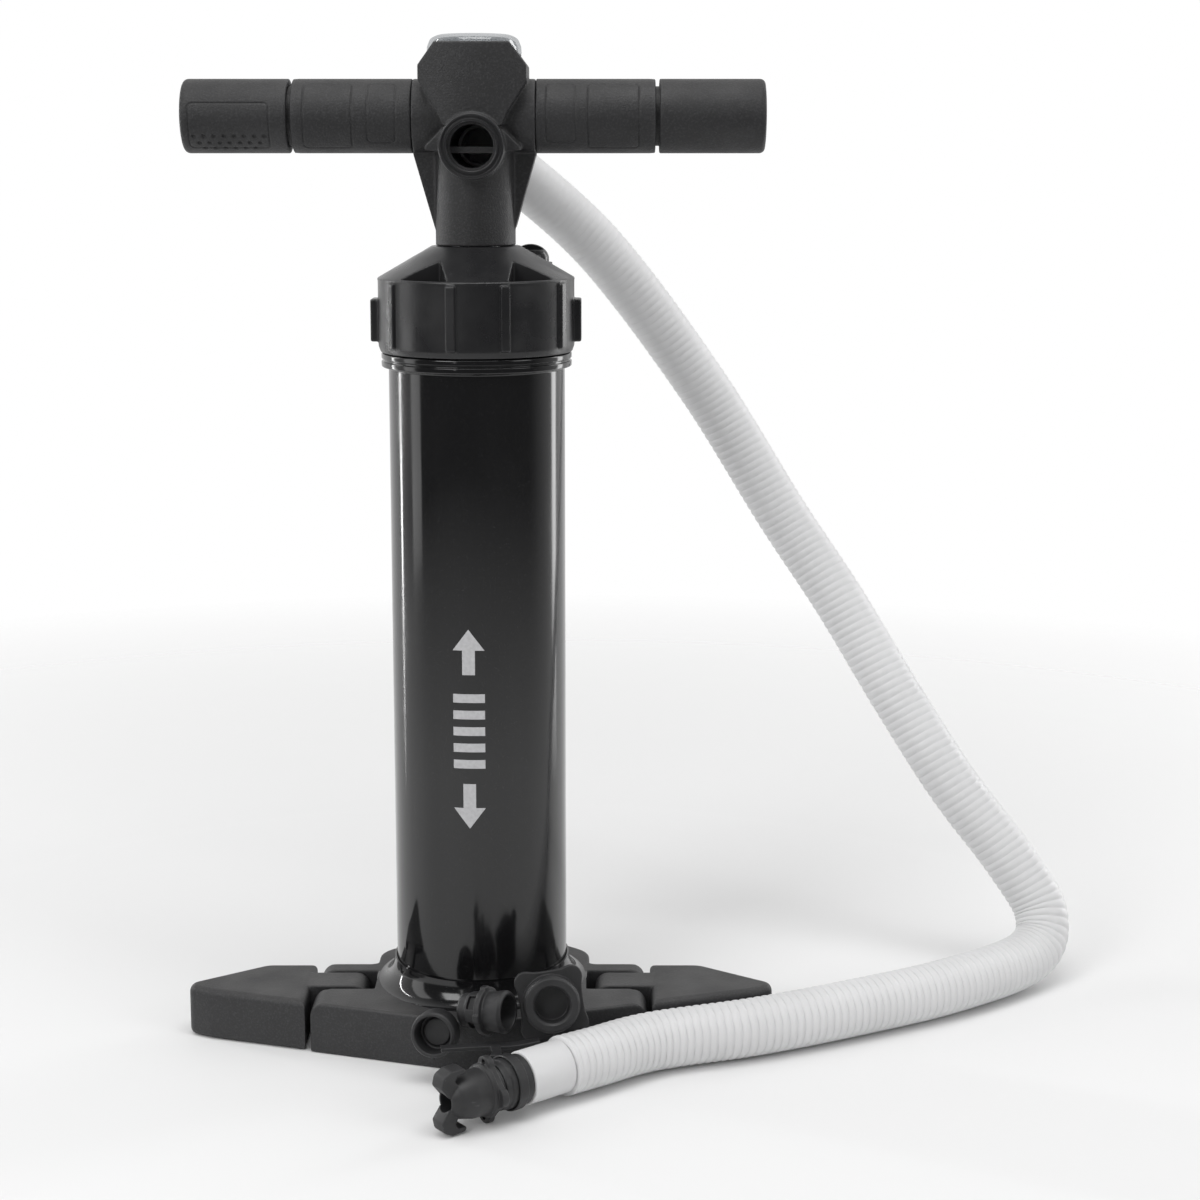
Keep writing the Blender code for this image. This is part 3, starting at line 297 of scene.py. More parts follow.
def gloss_barrel(name, colour):
    """Extruded gloss tube: long draw waves, a clear top skin, dust specks and light smears."""
    made, tree, shader = new_look(name, colour, 0.1)
    specks = patches(tree, 1900.0, 1.0, 0.7, 0.78, 0.0, 0.5)
    specked = blend_colour(tree, specks, colour, (0.12, 0.12, 0.12))
    smears = remap(tree, noise(tree, 22.0, 6.0, (1.0, 1.0, 0.35), 1.0), 0.35, 0.7, 0.07, 0.2)
    waves = bump(tree, noise(tree, 46.0, 2.0, (1.0, 1.0, 0.035)), 0.0005, 0.55)
    skin = bump(tree, noise(tree, 260.0, 2.0, (1.0, 1.0, 0.15)), 0.00002, 0.7, waves)
    wire(tree, shader, {"Base Color": specked, "Roughness": smears, "Normal": skin})
    shader.inputs["Coat Weight"].default_value = 0.15
    shader.inputs["Coat Roughness"].default_value = 0.05
    return made


def soft_rubber(name, colour, roughness):
    """Moulded soft rubber: fine skin, paler rubbed edges and bloom in patches."""
    made, tree, shader = new_look(name, colour, roughness)
    bloom = blend_colour(tree, patches(tree, 70.0, 5.0, 0.45, 0.75, 0.0, 0.5), colour, shade_of(colour, 1.9))
    rubbing = times(tree, edge_share(tree, 0.52, 0.62), noise(tree, 300.0))
    rubbed = blend_colour(tree, rubbing, bloom, shade_of(colour, 3.6))
    rough = patches(tree, 90.0, 4.0, 0.3, 0.7, roughness - 0.14, roughness + 0.08)
    skin = bump(tree, noise(tree, 1100.0, 3.0), 0.00004)
    wire(tree, shader, {"Base Color": rubbed, "Roughness": rough, "Normal": skin})
    return made


def hose_plastic(name, colour):
    """Milky corrugated hose: light scatters in the wall, and painted shade darkens the grooves."""
    made, tree, shader = new_look(name, colour, 0.42)
    clouds = patches(tree, 18.0, 4.0, 0.35, 0.7, 0.0, 0.35)
    cloudy = blend_colour(tree, clouds, colour, shade_of(colour, 0.8))
    # Painted shade: patchy darkening laid into the concave grooves of the corrugation.
    groove_shade = times(tree, crease_shade_share(tree, 0.5, 0.44), patches(tree, 90.0, 3.0, 0.2, 0.8, 0.3, 0.8))
    shade_painted_in_grooves = blend_colour(tree, groove_shade, cloudy, shade_of(colour, 0.62))
    rough = patches(tree, 60.0, 5.0, 0.3, 0.7, 0.34, 0.52)
    skin = bump(tree, noise(tree, 700.0, 2.0), 0.00003)
    wire(tree, shader, {"Base Color": shade_painted_in_grooves, "Roughness": rough, "Normal": skin})
    shader.inputs["Subsurface Weight"].default_value = 0.18
    shader.inputs["Subsurface Radius"].default_value = (0.004, 0.004, 0.0038)
    shader.inputs["Subsurface Scale"].default_value = 1.0
    return made


def metal(name, colour, roughness, stretch=(1.0, 1.0, 1.0), depth=0.00002):
    """Metal with fine drawn or tumbled marks of the given depth."""
    made, tree, shader = new_look(name, colour, roughness, 1.0)
    marks = noise(tree, 700.0, 4.0, stretch)
    rough = remap(tree, marks, 0.3, 0.7, roughness - 0.05, roughness + 0.07)
    tint = blend_colour(tree, patches(tree, 120.0, 4.0, 0.3, 0.7, 0.0, 1.0), shade_of(colour, 0.9), colour)
    wire(tree, shader, {"Base Color": tint, "Roughness": rough, "Normal": bump(tree, marks, depth)})
    return made


def clear_plastic(name):
    """Clear lens: see-through face on, bright where it turns edge on, with fine wipe marks."""
    made = bpy.data.materials.new(name)
    made.use_nodes = True
    tree = made.node_tree
    tree.nodes.clear()
    rough = remap(tree, noise(tree, 500.0, 4.0, (1.0, 6.0, 1.0)), 0.4, 0.8, 0.02, 0.14)
    gloss = add_node(tree, "BsdfGlossy", {"Color": (1.0, 1.0, 1.0, 1.0), "Roughness": rough})
    tint = add_node(tree, "BsdfTransparent", {"Color": (0.71, 0.72, 0.73, 1.0)})
    rim = add_node(tree, "LayerWeight", {"Blend": 0.3}).outputs["Facing"]
    share = remap(tree, rim, 0.0, 1.0, 0.05, 0.26)
    mix = add_node(tree, "MixShader", {0: share, 1: tint.outputs[0], 2: gloss.outputs[0]})
    add_node(tree, "OutputMaterial", {"Surface": mix.outputs[0]})
    return made


def printed(name, colour):
    """Screen-printed ink or a printed dial: slightly uneven, with pinholes."""
    made, tree, shader = new_look(name, colour, 0.38)
    unevenness = patches(tree, 500.0, 4.0, 0.3, 0.75, 0.0, 1.0)
    uneven = blend_colour(tree, unevenness, colour, shade_of(colour, 0.8))
    rough = patches(tree, 240.0, 4.0, 0.3, 0.7, 0.3, 0.5)
    skin = bump(tree, noise(tree, 1600.0, 2.0), 0.00001)
    wire(tree, shader, {"Base Color": uneven, "Roughness": rough, "Normal": skin})
    return made


CHARCOAL = textured_plastic("look_charcoal_plastic", (0.02, 0.02, 0.021), 0.52)
GRIP = textured_plastic("look_grip_plastic", (0.016, 0.016, 0.017), 0.56, 1.3)
SATIN = satin_plastic("look_satin_black", (0.012, 0.012, 0.013), 0.29)
GLOSS = gloss_barrel("look_gloss_black", (0.006, 0.006, 0.0065))
RUBBER = soft_rubber("look_black_rubber", (0.017, 0.017, 0.018), 0.55)
SILICONE = soft_rubber("look_grey_silicone", (0.045, 0.045, 0.047), 0.48)
HOSE = hose_plastic("look_white_hose", (0.66, 0.66, 0.665))
STEEL = metal("look_zinc_steel", (0.56, 0.56, 0.57), 0.3)
ALUMINIUM = metal("look_anodised_aluminium", (0.66, 0.66, 0.68), 0.3, (1.0, 1.0, 0.02), 0.000002)
LENS = clear_plastic("look_clear_lens")
DIAL = printed("look_dial_face", (0.8, 0.8, 0.79))
INK_BLACK = printed("look_ink_black", (0.012, 0.012, 0.012))
INK_GREY = printed("look_ink_grey", (0.5, 0.5, 0.51))
RED = printed("look_needle_red", (0.55, 0.015, 0.012))


# ---------------------------------------------------------------- outlines

def arc(centre, radius, start, end, count):
    """Points on an arc, angles in degrees."""
    angles = [radians(start + (end - start) * i / count) for i in range(count + 1)]
    return [(centre[0] + radius * cos(a), centre[1] + radius * sin(a)) for a in angles]


def fillet(before, corner, after, radius, segments):
    """The arc that replaces one corner."""
    here = Vector(corner)
    toward = (Vector(before) - here).normalized()
    away = (Vector(after) - here).normalized()
    half = toward.angle(away) / 2
    if radius == 0 or half > radians(88):
        return [tuple(here)]
    centre = here + (toward + away).normalized() * (radius / sin(half))
    first = here + toward * (radius / tan(half)) - centre
    last = here + away * (radius / tan(half)) - centre
    swing = first.angle_signed(last)
    points = []
    for step in range(segments + 1):
        point = first.copy()
        point.rotate(Matrix.Rotation(-swing * step / segments, 2))
        points.append(tuple(centre + point))
    return points


def rounded(corners, closed=True, segments=6):
    """Outline through (x, y, radius) corners; an open one keeps its two ends."""
    count = len(corners)
    outline = []
    for i, (x, y, radius) in enumerate(corners):
        if not closed and i in (0, count - 1):
            outline.append((x, y))
            continue
        outline += fillet(corners[i - 1][:2], (x, y), corners[(i + 1) % count][:2], radius, segments)
    return outline


# ---------------------------------------------------------------- solids

def placed(obj):
    bpy.context.scene.collection.objects.link(obj)
    return obj


def new_object(edit, matrix=None):
    """Object from a bmesh, its faces turned outward, with the matrix worked into its points."""
    bmesh.ops.recalc_face_normals(edit, faces=edit.faces)
    mesh = bpy.data.meshes.new("shape")
    edit.to_mesh(mesh)
    edit.free()
    if matrix:
        mesh.transform(matrix)
    return placed(bpy.data.objects.new("shape", mesh))


def lathe(profile, steps=ROUND, ring=False, matrix=None):
    """Solid of (radius, height) points turned about local Z; a ring's profile is a closed loop."""
    edit = bmesh.new()
    dots = [edit.verts.new((max(radius, 0.0), 0.0, height)) for radius, height in profile]
    pairs = list(zip(dots, dots[1:]))
    if ring:
        pairs.append((dots[-1], dots[0]))
    lines = [edit.edges.new(pair) for pair in pairs]
    bmesh.ops.spin(edit, geom=dots + lines, cent=(0, 0, 0), axis=(0, 0, 1), angle=2 * pi,
                   steps=steps, use_merge=True, use_duplicate=False)
    bmesh.ops.remove_doubles(edit, verts=edit.verts, dist=0.000005)
    return new_object(edit, matrix)


def prism(outline, bottom, top, matrix=None, edge=0.0, segments=4):
    """Outline extruded along local Z, with rounded rims where edge is given."""
    edit = bmesh.new()
    face = edit.faces.new([edit.verts.new((x, y, bottom)) for x, y in outline])
    grown = bmesh.ops.extrude_face_region(edit, geom=[face])["geom"]
    raised = [g for g in grown if isinstance(g, bmesh.types.BMVert)]
    bmesh.ops.translate(edit, vec=(0, 0, top - bottom), verts=raised)
    if edge:
        rims = [e for e in edit.edges if abs(e.verts[0].co.z - e.verts[1].co.z) < 0.00001]
        bmesh.ops.bevel(edit, geom=rims, offset=edge, segments=segments, profile=0.5, affect="EDGES",
                        clamp_overlap=True)
    return new_object(edit, matrix)


def block(size, centre, matrix=None, edge=0.0):
    """Box with all its edges rounded where edge is given."""
    edit = bmesh.new()
    bmesh.ops.create_cube(edit, size=1.0)
    bmesh.ops.scale(edit, vec=size, verts=edit.verts)
    if edge:
        bmesh.ops.bevel(edit, geom=list(edit.edges), offset=edge, segments=3, profile=0.5, affect="EDGES")
    bmesh.ops.translate(edit, vec=centre, verts=edit.verts)
    return new_object(edit, matrix)


def rod(radius, start, end, matrix=None, steps=MEDIUM):
    """Plain round bar along local Z."""
    return lathe([(0.0, end), (radius, end), (radius, start), (0.0, start)], steps, False, matrix)


def boolean(obj, other, operation):
    modifier = obj.modifiers.new(other.name, "BOOLEAN")
    modifier.object = other
    modifier.operation = operation
    modifier.solver = "EXACT"


def applied(obj):
    """Works the object's modifiers into its mesh."""
    bpy.context.view_layer.update()
    graph = bpy.context.evaluated_depsgraph_get()
    mesh = bpy.data.meshes.new_from_object(obj.evaluated_get(graph), depsgraph=graph)
    mesh.name = obj.name
    obj.modifiers.clear()
    obj.data = mesh
    return obj


def discard(objects):
    for obj in objects:
        bpy.data.objects.remove(obj, do_unlink=True)


def cut(shape, removed, kept_inside=None):
    """Takes away the cutters that reach the shape and keeps only what lies inside another shape."""
    own = reach(shape)
    for cutter in removed:
        if meet(own, reach(cutter)):
            boolean(shape, cutter, "DIFFERENCE")
    if kept_inside:
        boolean(shape, kept_inside, "INTERSECT")
    return applied(shape)


def carve(obj, removed, kept_inside=None):
    """Cuts one object and discards its cutters."""
    cut(obj, removed, kept_inside)
    discard(list(removed) + ([kept_inside] if kept_inside else []))
    return obj


def merged(pieces):
    """One object that holds all the pieces' meshes."""
    edit = bmesh.new()
    for piece in pieces:
        edit.from_mesh(piece.data)
    discard(pieces)
    return new_object(edit)


def reach(obj):
    """Lowest and highest corners of an object's own points."""
    points = [v.co for v in obj.data.vertices]
    return [Vector(pick(p[i] for p in points) for i in range(3)) for pick in (min, max)]


def meet(first, second):
    """True where two boxes of corners touch."""
    return all(first[0][i] < second[1][i] and second[0][i] < first[1][i] for i in range(3))


def soften(obj, voxel, relax, keep=0.5):
    """Rebuilds the surface on a fine grid and relaxes it, so that edges and joints get moulded radii."""
    grid = obj.modifiers.new("Grid", "REMESH")
    grid.mode = "VOXEL"
    grid.voxel_size = voxel
    calm = obj.modifiers.new("Relax", "SMOOTH")
    calm.factor = 0.5
    calm.iterations = relax
    fewer = obj.modifiers.new("Fewer", "DECIMATE")
    fewer.ratio = keep
    return applied(obj)


def moulded(shapes, removed, voxel, relax, kept_inside=None):
    """Cuts every shape, lays them into one another and rebuilds the whole as one moulded skin."""
    for shape in shapes:
        cut(shape, removed, kept_inside)
    discard(list(removed) + ([kept_inside] if kept_inside else []))
    return soften(merged(shapes), voxel, relax)


def finish_piece(name, obj, look, body, *nodes, sharp=40):
    """Gives a piece its name, material and shading, the body it rides on and the nodes it stands for."""
    obj.name = name
    obj.data.name = name
    obj.data.materials.clear()
    obj.data.materials.append(look)
    obj.data.shade_smooth()
    if sharp:
        obj.data.set_sharp_from_angle(angle=radians(sharp))
    if body:
        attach(obj, body)
    if nodes:
        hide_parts(*nodes)
    return obj


def moulded_piece(name, shapes, removed, voxel, relax, look, body, node):
    return finish_piece(name, moulded(shapes, removed, voxel, relax), look, body, node, sharp=0)


def turned_piece(name, corners, look, body, node, matrix=None, segments=6, steps=ROUND):
    """Ring turned from a closed profile of (radius, height, corner radius)."""
    ring = lathe(rounded(corners, segments=segments), steps, True, matrix)
    return finish_piece(name, ring, look, body, node)


def along_x(x=0.0, y=0.0, z=0.0):
    return Matrix.Translation((x, y, z)) @ Matrix.Rotation(pi / 2, 4, "Y")


def along_y(x=0.0, y=0.0, z=0.0):
    return Matrix.Translation((x, y, z)) @ Matrix.Rotation(-pi / 2, 4, "X")


def upright(x=0.0, y=0.0, z=0.0):
    """Stands an (x, z) outline up; the extrusion then runs along -Y."""
    return Matrix.Translation((x, y, z)) @ Matrix.Rotation(pi / 2, 4, "X")


def about_z(degrees):
    return Matrix.Rotation(radians(degrees), 4, "Z")


def at_xy(x, y):
    return Matrix.Translation((x, y, 0))


def four_ways(first):
    """Four angles a quarter turn apart."""
    return [first + 90 * turn for turn in range(4)]


def on_circle(radius, angles):
    return [(radius * cos(radians(a)), radius * sin(radians(a))) for a in angles]


# ---------------------------------------------------------------- barrel and cap

def barrel():
    r, wide = BARREL_RADIUS, FLANGE_RADIUS
    groove = wide - 0.0009
    top = FLANGE_TOP_Z
    corners = [(BARREL_BORE, BARREL_TOP_Z, 0.0003), (r, BARREL_TOP_Z, 0.0008), (r, top, 0.0004),
               (wide, top, 0.001), (wide, top - 0.003, 0.0005), (groove, top - 0.0034, 0.0004),
               (groove, top - 0.0044, 0.0004), (wide, top - 0.0048, 0.0005),
               (wide, FLANGE_BOTTOM_Z, 0.001), (r, FLANGE_BOTTOM_Z - 0.0006, 0.0012),
               (r, BARREL_FOOT_Z, 0.0003), (BARREL_BORE, BARREL_FOOT_Z, 0.0003)]
    turned_piece("barrel_tube", corners, GLOSS, "base", "barrel", steps=SMOOTH)


def wrapped(outline, lift=0.00012):
    """Thin printed patch bent round the front of the barrel; outline is (across, z)."""
    edit = bmesh.new()
    face = edit.faces.new([edit.verts.new((x, 0.0, z)) for x, z in outline])
    face.normal_update()
    bmesh.ops.triangulate(edit, faces=[face])
    bmesh.ops.subdivide_edges(edit, edges=list(edit.edges), cuts=5, use_grid_fill=True)
    grown = bmesh.ops.extrude_face_region(edit, geom=list(edit.faces))["geom"]
    for v in [g for g in grown if isinstance(g, bmesh.types.BMVert)]:
        v.co.y = lift
    for v in edit.verts:
        angle = v.co.x / BARREL_RADIUS
        radius = BARREL_RADIUS - 0.00005 + v.co.y
        v.co.x = radius * sin(angle)
        v.co.y = -radius * cos(angle)
    return new_object(edit)


def barrel_print():
    """Plain graphic in place of lettering: an up arrow, five volume bars and a down arrow."""
    middle_x, half, shaft = -0.0035, 0.009, 0.0036
    head, length = 0.012, 0.026
    first_bar, bar_pitch, bar_height = 0.17, 0.0095, 0.005
    pieces = {}
    for name, tip, sign in (("up", 0.25, -1), ("down", 0.135, 1)):
        neck, tail = tip + sign * head, tip + sign * length
        arrow = ((0.0, tip), (half, neck), (shaft, neck), (shaft, tail), (-shaft, tail), (-shaft, neck),
                 (-half, neck))
        pieces[f"print_arrow_{name}"] = [(middle_x + x, z) for x, z in arrow]
    left, right = middle_x - half, middle_x + half
    for number in range(5):
        z = first_bar + number * bar_pitch
        bar = [(left, z), (right, z), (right, z + bar_height), (left, z + bar_height)]
        pieces[f"print_bar_{number + 1}"] = bar
    for name, outline in pieces.items():
        finish_piece(name, wrapped(outline), INK_GREY, "base")


def socket_flare():
    """Gloss skirt that seats the barrel in the base."""
    inner, top, foot = BARREL_RADIUS + 0.0004, 0.0515, 0.0622
    rise = SOCKET_TOP_Z - BASE_HEIGHT
    profile = [(inner, SOCKET_TOP_Z - 0.0001)]
    for degrees in range(90, -1, -5):
        t = radians(degrees)
        profile.append((foot - (foot - top) * sin(t), BASE_HEIGHT - 0.0001 + rise * (1 - cos(t))))
    profile += [(foot, BASE_HEIGHT - 0.002), (inner, BASE_HEIGHT - 0.002)]
    finish_piece("socket_flare", lathe(profile, SMOOTH, ring=True), GLOSS, "base")


def cap_pocket(side, depth):
    """Triangular hollow between a front rib and a side rib, with its floor at the shoulder."""
    outer, inner, middle = 0.0541, 0.0372, radians(32.6)
    base = [(outer * sin(radians(a)), -outer * cos(radians(a))) for a in range(18, 52, 3)]
    base.append((inner * sin(middle), -inner * cos(middle)))
    outline = [(side * x, depth * y) for x, y in base]
    floor_z = CAP_SHOULDER_Z - 0.0022
    return prism(outline, floor_z, CAP_TOP_Z + 0.01, about_z(CAP_TURN))


def cap_body():
    z, thread, seal, roof = CAP_SHOULDER_Z, 0.0505, 0.044, 0.4305
    bush_z, bush, passage = 0.427, 0.022, 0.0178
    corners = [(CAP_NECK_RADIUS, CAP_TOP_Z, 0.0008), (0.056, z, 0.0008), (CAP_RADIUS, z - 0.001, 0.0),
               (CAP_RADIUS, CAP_BOTTOM_Z + 0.0036, 0.001), (0.0543, CAP_BOTTOM_Z, 0.0006),
               (thread, CAP_BOTTOM_Z, 0.0), (thread, roof, 0.0), (seal, roof, 0.0), (seal, 0.436, 0.0),
               (0.037, 0.4395, 0.0), (0.0225, 0.4415, 0.0), (bush, bush_z, 0.0), (0.015, bush_z, 0.0),
               (0.015, 0.43, 0.0), (passage, 0.43, 0.0), (passage, CAP_TOP_Z, 0.0)]
    return lathe(rounded(corners, segments=3), 160, ring=True)


def cap():
    """Screw cap with grip ribs, two lugs, pockets beside its front and rear ribs and a selector seat."""
    seat, seat_foot, recess, stem_hole, above = 0.0125, 0.4425, 0.0112, 0.0043, 0.47
    rib, lug = (0.0052, 0.0056, 0.036), (0.0085, 0.016, 0.024)
    there = at_xy(SELECTOR.x, SELECTOR.y)
    shapes = [cap_body(), rod(seat, seat_foot, SELECTOR.z, there)]
    for angle in CAP_RIB_ANGLES:
        shapes.append(block(rib, (0.0, -0.0546, 0.4232), about_z(angle + CAP_TURN), 0.0005))
    for sign in (-1, 1):
        shapes.append(block(lug, (sign * 0.05525, 0.0, 0.419), None, 0.0008))
    removed = [cap_pocket(side, depth) for side in (-1, 1) for depth in (-1, 1)]
    removed += [rod(recess, SELECTOR.z, above, there), rod(stem_hole, 0.43, above, there)]
    for x, y in on_circle(0.031, (120, 150, 180)):
        removed.append(rod(0.0024, 0.435, above, at_xy(x, y), 24))
    moulded_piece("cap_shell", shapes, removed, 0.00055, 3, SATIN, "base", "cap")


def selector():
    """Domed quarter-turn knob with a finger bar left between two scoops."""
    seat, top, radius, skirt = SELECTOR.z + 0.0003, high("selector_knob").z, 0.0106, 0.0016
    stem, stem_end = 0.004, 0.4375
    profile = []
    for degrees in range(0, 91, 6):
        t = radians(degrees)
        profile.append((radius * sin(t), seat + skirt + (top - 0.0002 - seat - skirt) * cos(t)))
    profile += [(radius, seat), (stem, seat), (stem, stem_end), (0.0, stem_end)]
    knob = lathe(profile, MEDIUM, False, at_xy(SELECTOR.x, SELECTOR.y))
    scoops = []
    for sign in (-1, 1):
        middle = (SELECTOR.x, SELECTOR.y + sign * 0.0066, top + 0.0006)
        scoops.append(block((0.03, 0.008, 0.008), middle))
    moulded_piece("selector_dome", [knob], scoops, 0.00026, 3, SATIN, "selector", "selector_knob")


# ---------------------------------------------------------------- base and foot plates

def front_edge(x):
    return FRONT_APEX_Y + abs(x) * FRONT_SWEEP


def base_solid():
    waist_x, waist_y, end_x = 0.0635, 0.038, 0.034
    half = [(EAR_END_X, front_edge(EAR_END_X), 0.0015), (EAR_END_X, PLATE_BACK_Y, 0.0015),
            (waist_x, PLATE_BACK_Y, 0.004), (waist_x, waist_y, 0.018), (end_x, BASE_BACK_Y, 0.018)]
    mirrored = [(-x, y, radius) for x, y, radius in reversed(half)]
    outline = rounded([(0.0, FRONT_APEX_Y, 0.03)] + half + mirrored, segments=8)
    return prism(outline, 0.0, BASE_HEIGHT, None, 0.0012, 3)


def ear_waste(sign):
    """What lies above the rounded upper corner of a hinge ear."""
    radius = 0.0088
    centre = (EAR_END_X - radius, BASE_HEIGHT - radius)
    spare = 0.004
    outline = arc(centre, radius, 0, 90, 16)
    outline += [(centre[0], BASE_HEIGHT + spare), (EAR_END_X + spare, BASE_HEIGHT + spare),
                (EAR_END_X + spare, centre[1])]
    return prism([(sign * x, z) for x, z in outline], -0.03, 0.07, upright())


def base_underside(sign):
    """Hollow under one wing, behind the front wall and beside the barrel's seat."""
    wall, roof = 0.005, 0.004
    seat = arc((0.0, 0.0), 0.0605, -83, -31, 12)
    start_x, end_x = seat[0][0], NOTCH_X - wall
    outline = seat + [(end_x, NOTCH_Y[0] - wall), (end_x, front_edge(end_x) + wall),
                      (start_x, front_edge(start_x) + wall)]
    return prism([(sign * x, y) for x, y in outline], -0.002, BASE_HEIGHT - roof)


def base_cutters():
    """Hinge notches, ear corners, hollows, pin bores, the barrel's well, air holes and screw holes."""
    removed = []
    for sign in (-1, 1):
        width = EAR_END_X - NOTCH_X + 0.01
        notch_middle = (sign * (NOTCH_X + width / 2), sum(NOTCH_Y) / 2, BASE_HEIGHT / 2)
        removed.append(block((width, NOTCH_Y[1] - NOTCH_Y[0], 0.04), notch_middle))
        removed.append(ear_waste(sign))
        removed.append(base_underside(sign))
        removed.append(rod(PIN_BORE, -0.042, 0.03, along_y(sign * HINGE.x, 0, HINGE.z), 32))
    floor_z, recess, recess_z, above = 0.0077, 0.0205, 0.0026, 0.06
    seat = BARREL_RADIUS + 0.0003
    well = [(0.0, above), (seat, above), (seat, floor_z), (recess, floor_z), (recess, recess_z),
            (0.0, recess_z)]
    removed.append(lathe(well, ROUND))
    hole, screw_head, under = 0.0028, 0.005, -0.002
    for x, y in on_circle(0.016, four_ways(0)):
        removed.append(rod(hole, under, 0.004, at_xy(x, y), 24))
    for x, y in on_circle(0.032, (90, 210, 330)):
        removed.append(rod(hole, 0.002, 0.01, at_xy(x, y), 24))
        removed.append(rod(screw_head, under, 0.0045, at_xy(x, y), 32))
    return removed


def base():
    moulded_piece("base_shell", [base_solid()], base_cutters(), 0.00075, 4, CHARCOAL, "base", "base_block")


def plate_back(x):
    return PLATE_BACK_Y - max(0.0, x - 0.13) * 0.7


def foot_plate(side, sign):
    """Fold-out plate: soft outer end, ribs underneath and a round hinge tongue."""
    bend_x, taper_x, wall = 0.158, 0.13, 0.004
    corners = [(PLATE_INNER_X, front_edge(PLATE_INNER_X), 0.0), (bend_x, front_edge(bend_x), 0.02),
               (PLATE_TIP_X, -0.02, 0.006), (PLATE_TIP_X, -0.0115, 0.007), (taper_x, PLATE_BACK_Y, 0.014),
               (PLATE_INNER_X, PLATE_BACK_Y, 0.0)]
    outline = [(sign * x, y) for x, y in rounded(corners, segments=10)]
    plate = prism(outline, 0.0, BASE_HEIGHT, None, 0.004, 6)
    pockets = []
    for inner, outer in ((0.106, 0.125), (0.128, 0.146), (0.149, 0.164)):
        front = [(x, front_edge(x) + wall) for x in (inner, outer)]
        back = [(x, plate_back(x) - wall) for x in (outer, inner)]
        outline = [(sign * x, y) for x, y in front + back]
        pockets.append(prism(outline, -0.002, BASE_HEIGHT - wall))
    carve(plate, pockets)
    reach_x, root_x, top = 0.014, PLATE_INNER_X + 0.006, BASE_HEIGHT - 0.0004
    tip_x, bottom = HINGE.x - reach_x, HINGE.z - reach_x
    corners = [(root_x, bottom, 0.0), (root_x, top, 0.0), (tip_x, top, 0.0078), (tip_x, bottom, 0.0135)]
    tongue = prism([(sign * x, z) for x, z in rounded(corners)], -0.0038, 0.0188, upright(), 0.0006, 2)
    bore = rod(PIN_BORE, -0.03, 0.03, along_y(sign * HINGE.x, 0, HINGE.z), 32)
    moulded_piece(f"foot_plate_shell_{side}", [plate, tongue], [bore], 0.0006, 4, CHARCOAL, f"{side}_foot",
                  f"foot_plate_{side}")


# ---------------------------------------------------------------- handle

def handle_head():
    """Shield that carries the gauge, slightly convex to the front and the rear."""
    top = HEAD_TOP_Z
    half = [(0.016, 0.5276, 0.0), (0.0192, 0.5349, 0.006), (0.0298, top - 0.0211, 0.003),
            (0.0298, top - 0.0125, 0.0012), (0.0205, top, 0.0012)]
    outline = [(-x, z, radius) for x, z, radius in reversed(half)] + half
    head = prism(rounded(outline, segments=4), -0.04, 0.04, upright())
    bow = 0.0925
    front = arc((0.0, bow - HEAD_DEPTH), bow, -112, -68, 32)
    plan = front + [(-x, -y) for x, y in front]
    return carve(head, (), prism(plan, 0.5, 0.6))


def handle_shapes():
    """The closed shapes that the moulding is made of; they overlap."""
    gusset = [(-0.0225, 0.47), (0.0225, 0.47), (0.0345, 0.512), (0.0345, 0.522), (-0.0345, 0.522),
              (-0.0345, 0.512)]
    web = [(0.014, 0.512), (0.0262, 0.514), (0.0262, 0.516), (0.0165, 0.5255), (0.01, 0.5255)]
    core_end = BAR_END_X - 0.004
    shapes = [prism([(sign * x, z) for x, z in web], 0.01, 0.028, upright()) for sign in (-1, 1)]
    shapes.append(rod(NECK_RADIUS, NECK_BOTTOM_Z, 0.545, None, ROUND))
    shapes.append(prism(gusset, -0.014, 0.005, upright()))
    shapes.append(rod(BAR_CORE_RADIUS, -core_end, core_end, along_x(z=BAR_Z), ROUND))
    shapes.append(rod(GRIP_RADIUS, -HUB_HALF, HUB_HALF, along_x(z=BAR_Z), ROUND))
    shapes.append(rod(PORT_RADIUS, FRONT_PORT_Y, REAR_PORT_Y, along_y(z=PORT_Z), ROUND))
    return shapes + [handle_head()]


def handle_hollows():
    """Room for the air duct and the gauge, and the screws' wells."""
    duct, port, inlet, well, shank = 0.0183, 0.014, 0.0045, 0.0036, 0.0019
    removed = [rod(duct, 0.45, 0.5413), rod(port, -0.05, 0.05, along_y(z=PORT_Z)),
               rod(GAUGE_RADIUS + 0.0003, 0.553, 0.6, None, ROUND), rod(inlet, 0.535, 0.56)]
    for node in HANDLE_SCREWS:
        middle, head_y = (low(node) + high(node)) / 2, high(node).y
        lay = along_y(middle.x, 0, middle.z)
        removed.append(rod(well, head_y - 0.003, 0.05, lay, 32))
        removed.append(rod(shank, -0.0042, 0.03, lay, 16))
    return removed


def handle_shells():
    for name, sign in (("front", -1), ("rear", 1)):
        room = block((0.4, 0.06, 0.2), (0.0, sign * 0.03015, 0.52))
        half = moulded(handle_shapes(), handle_hollows(), 0.00062, 4, room)
        finish_piece(f"handle_shell_{name}", half, CHARCOAL, "handle", f"handle_{name}", sharp=0)


def smooth_step(value, start, end):
    share = min(1.0, max(0.0, (value - start) / (end - start)))
    return share * share * (3 - 2 * share)


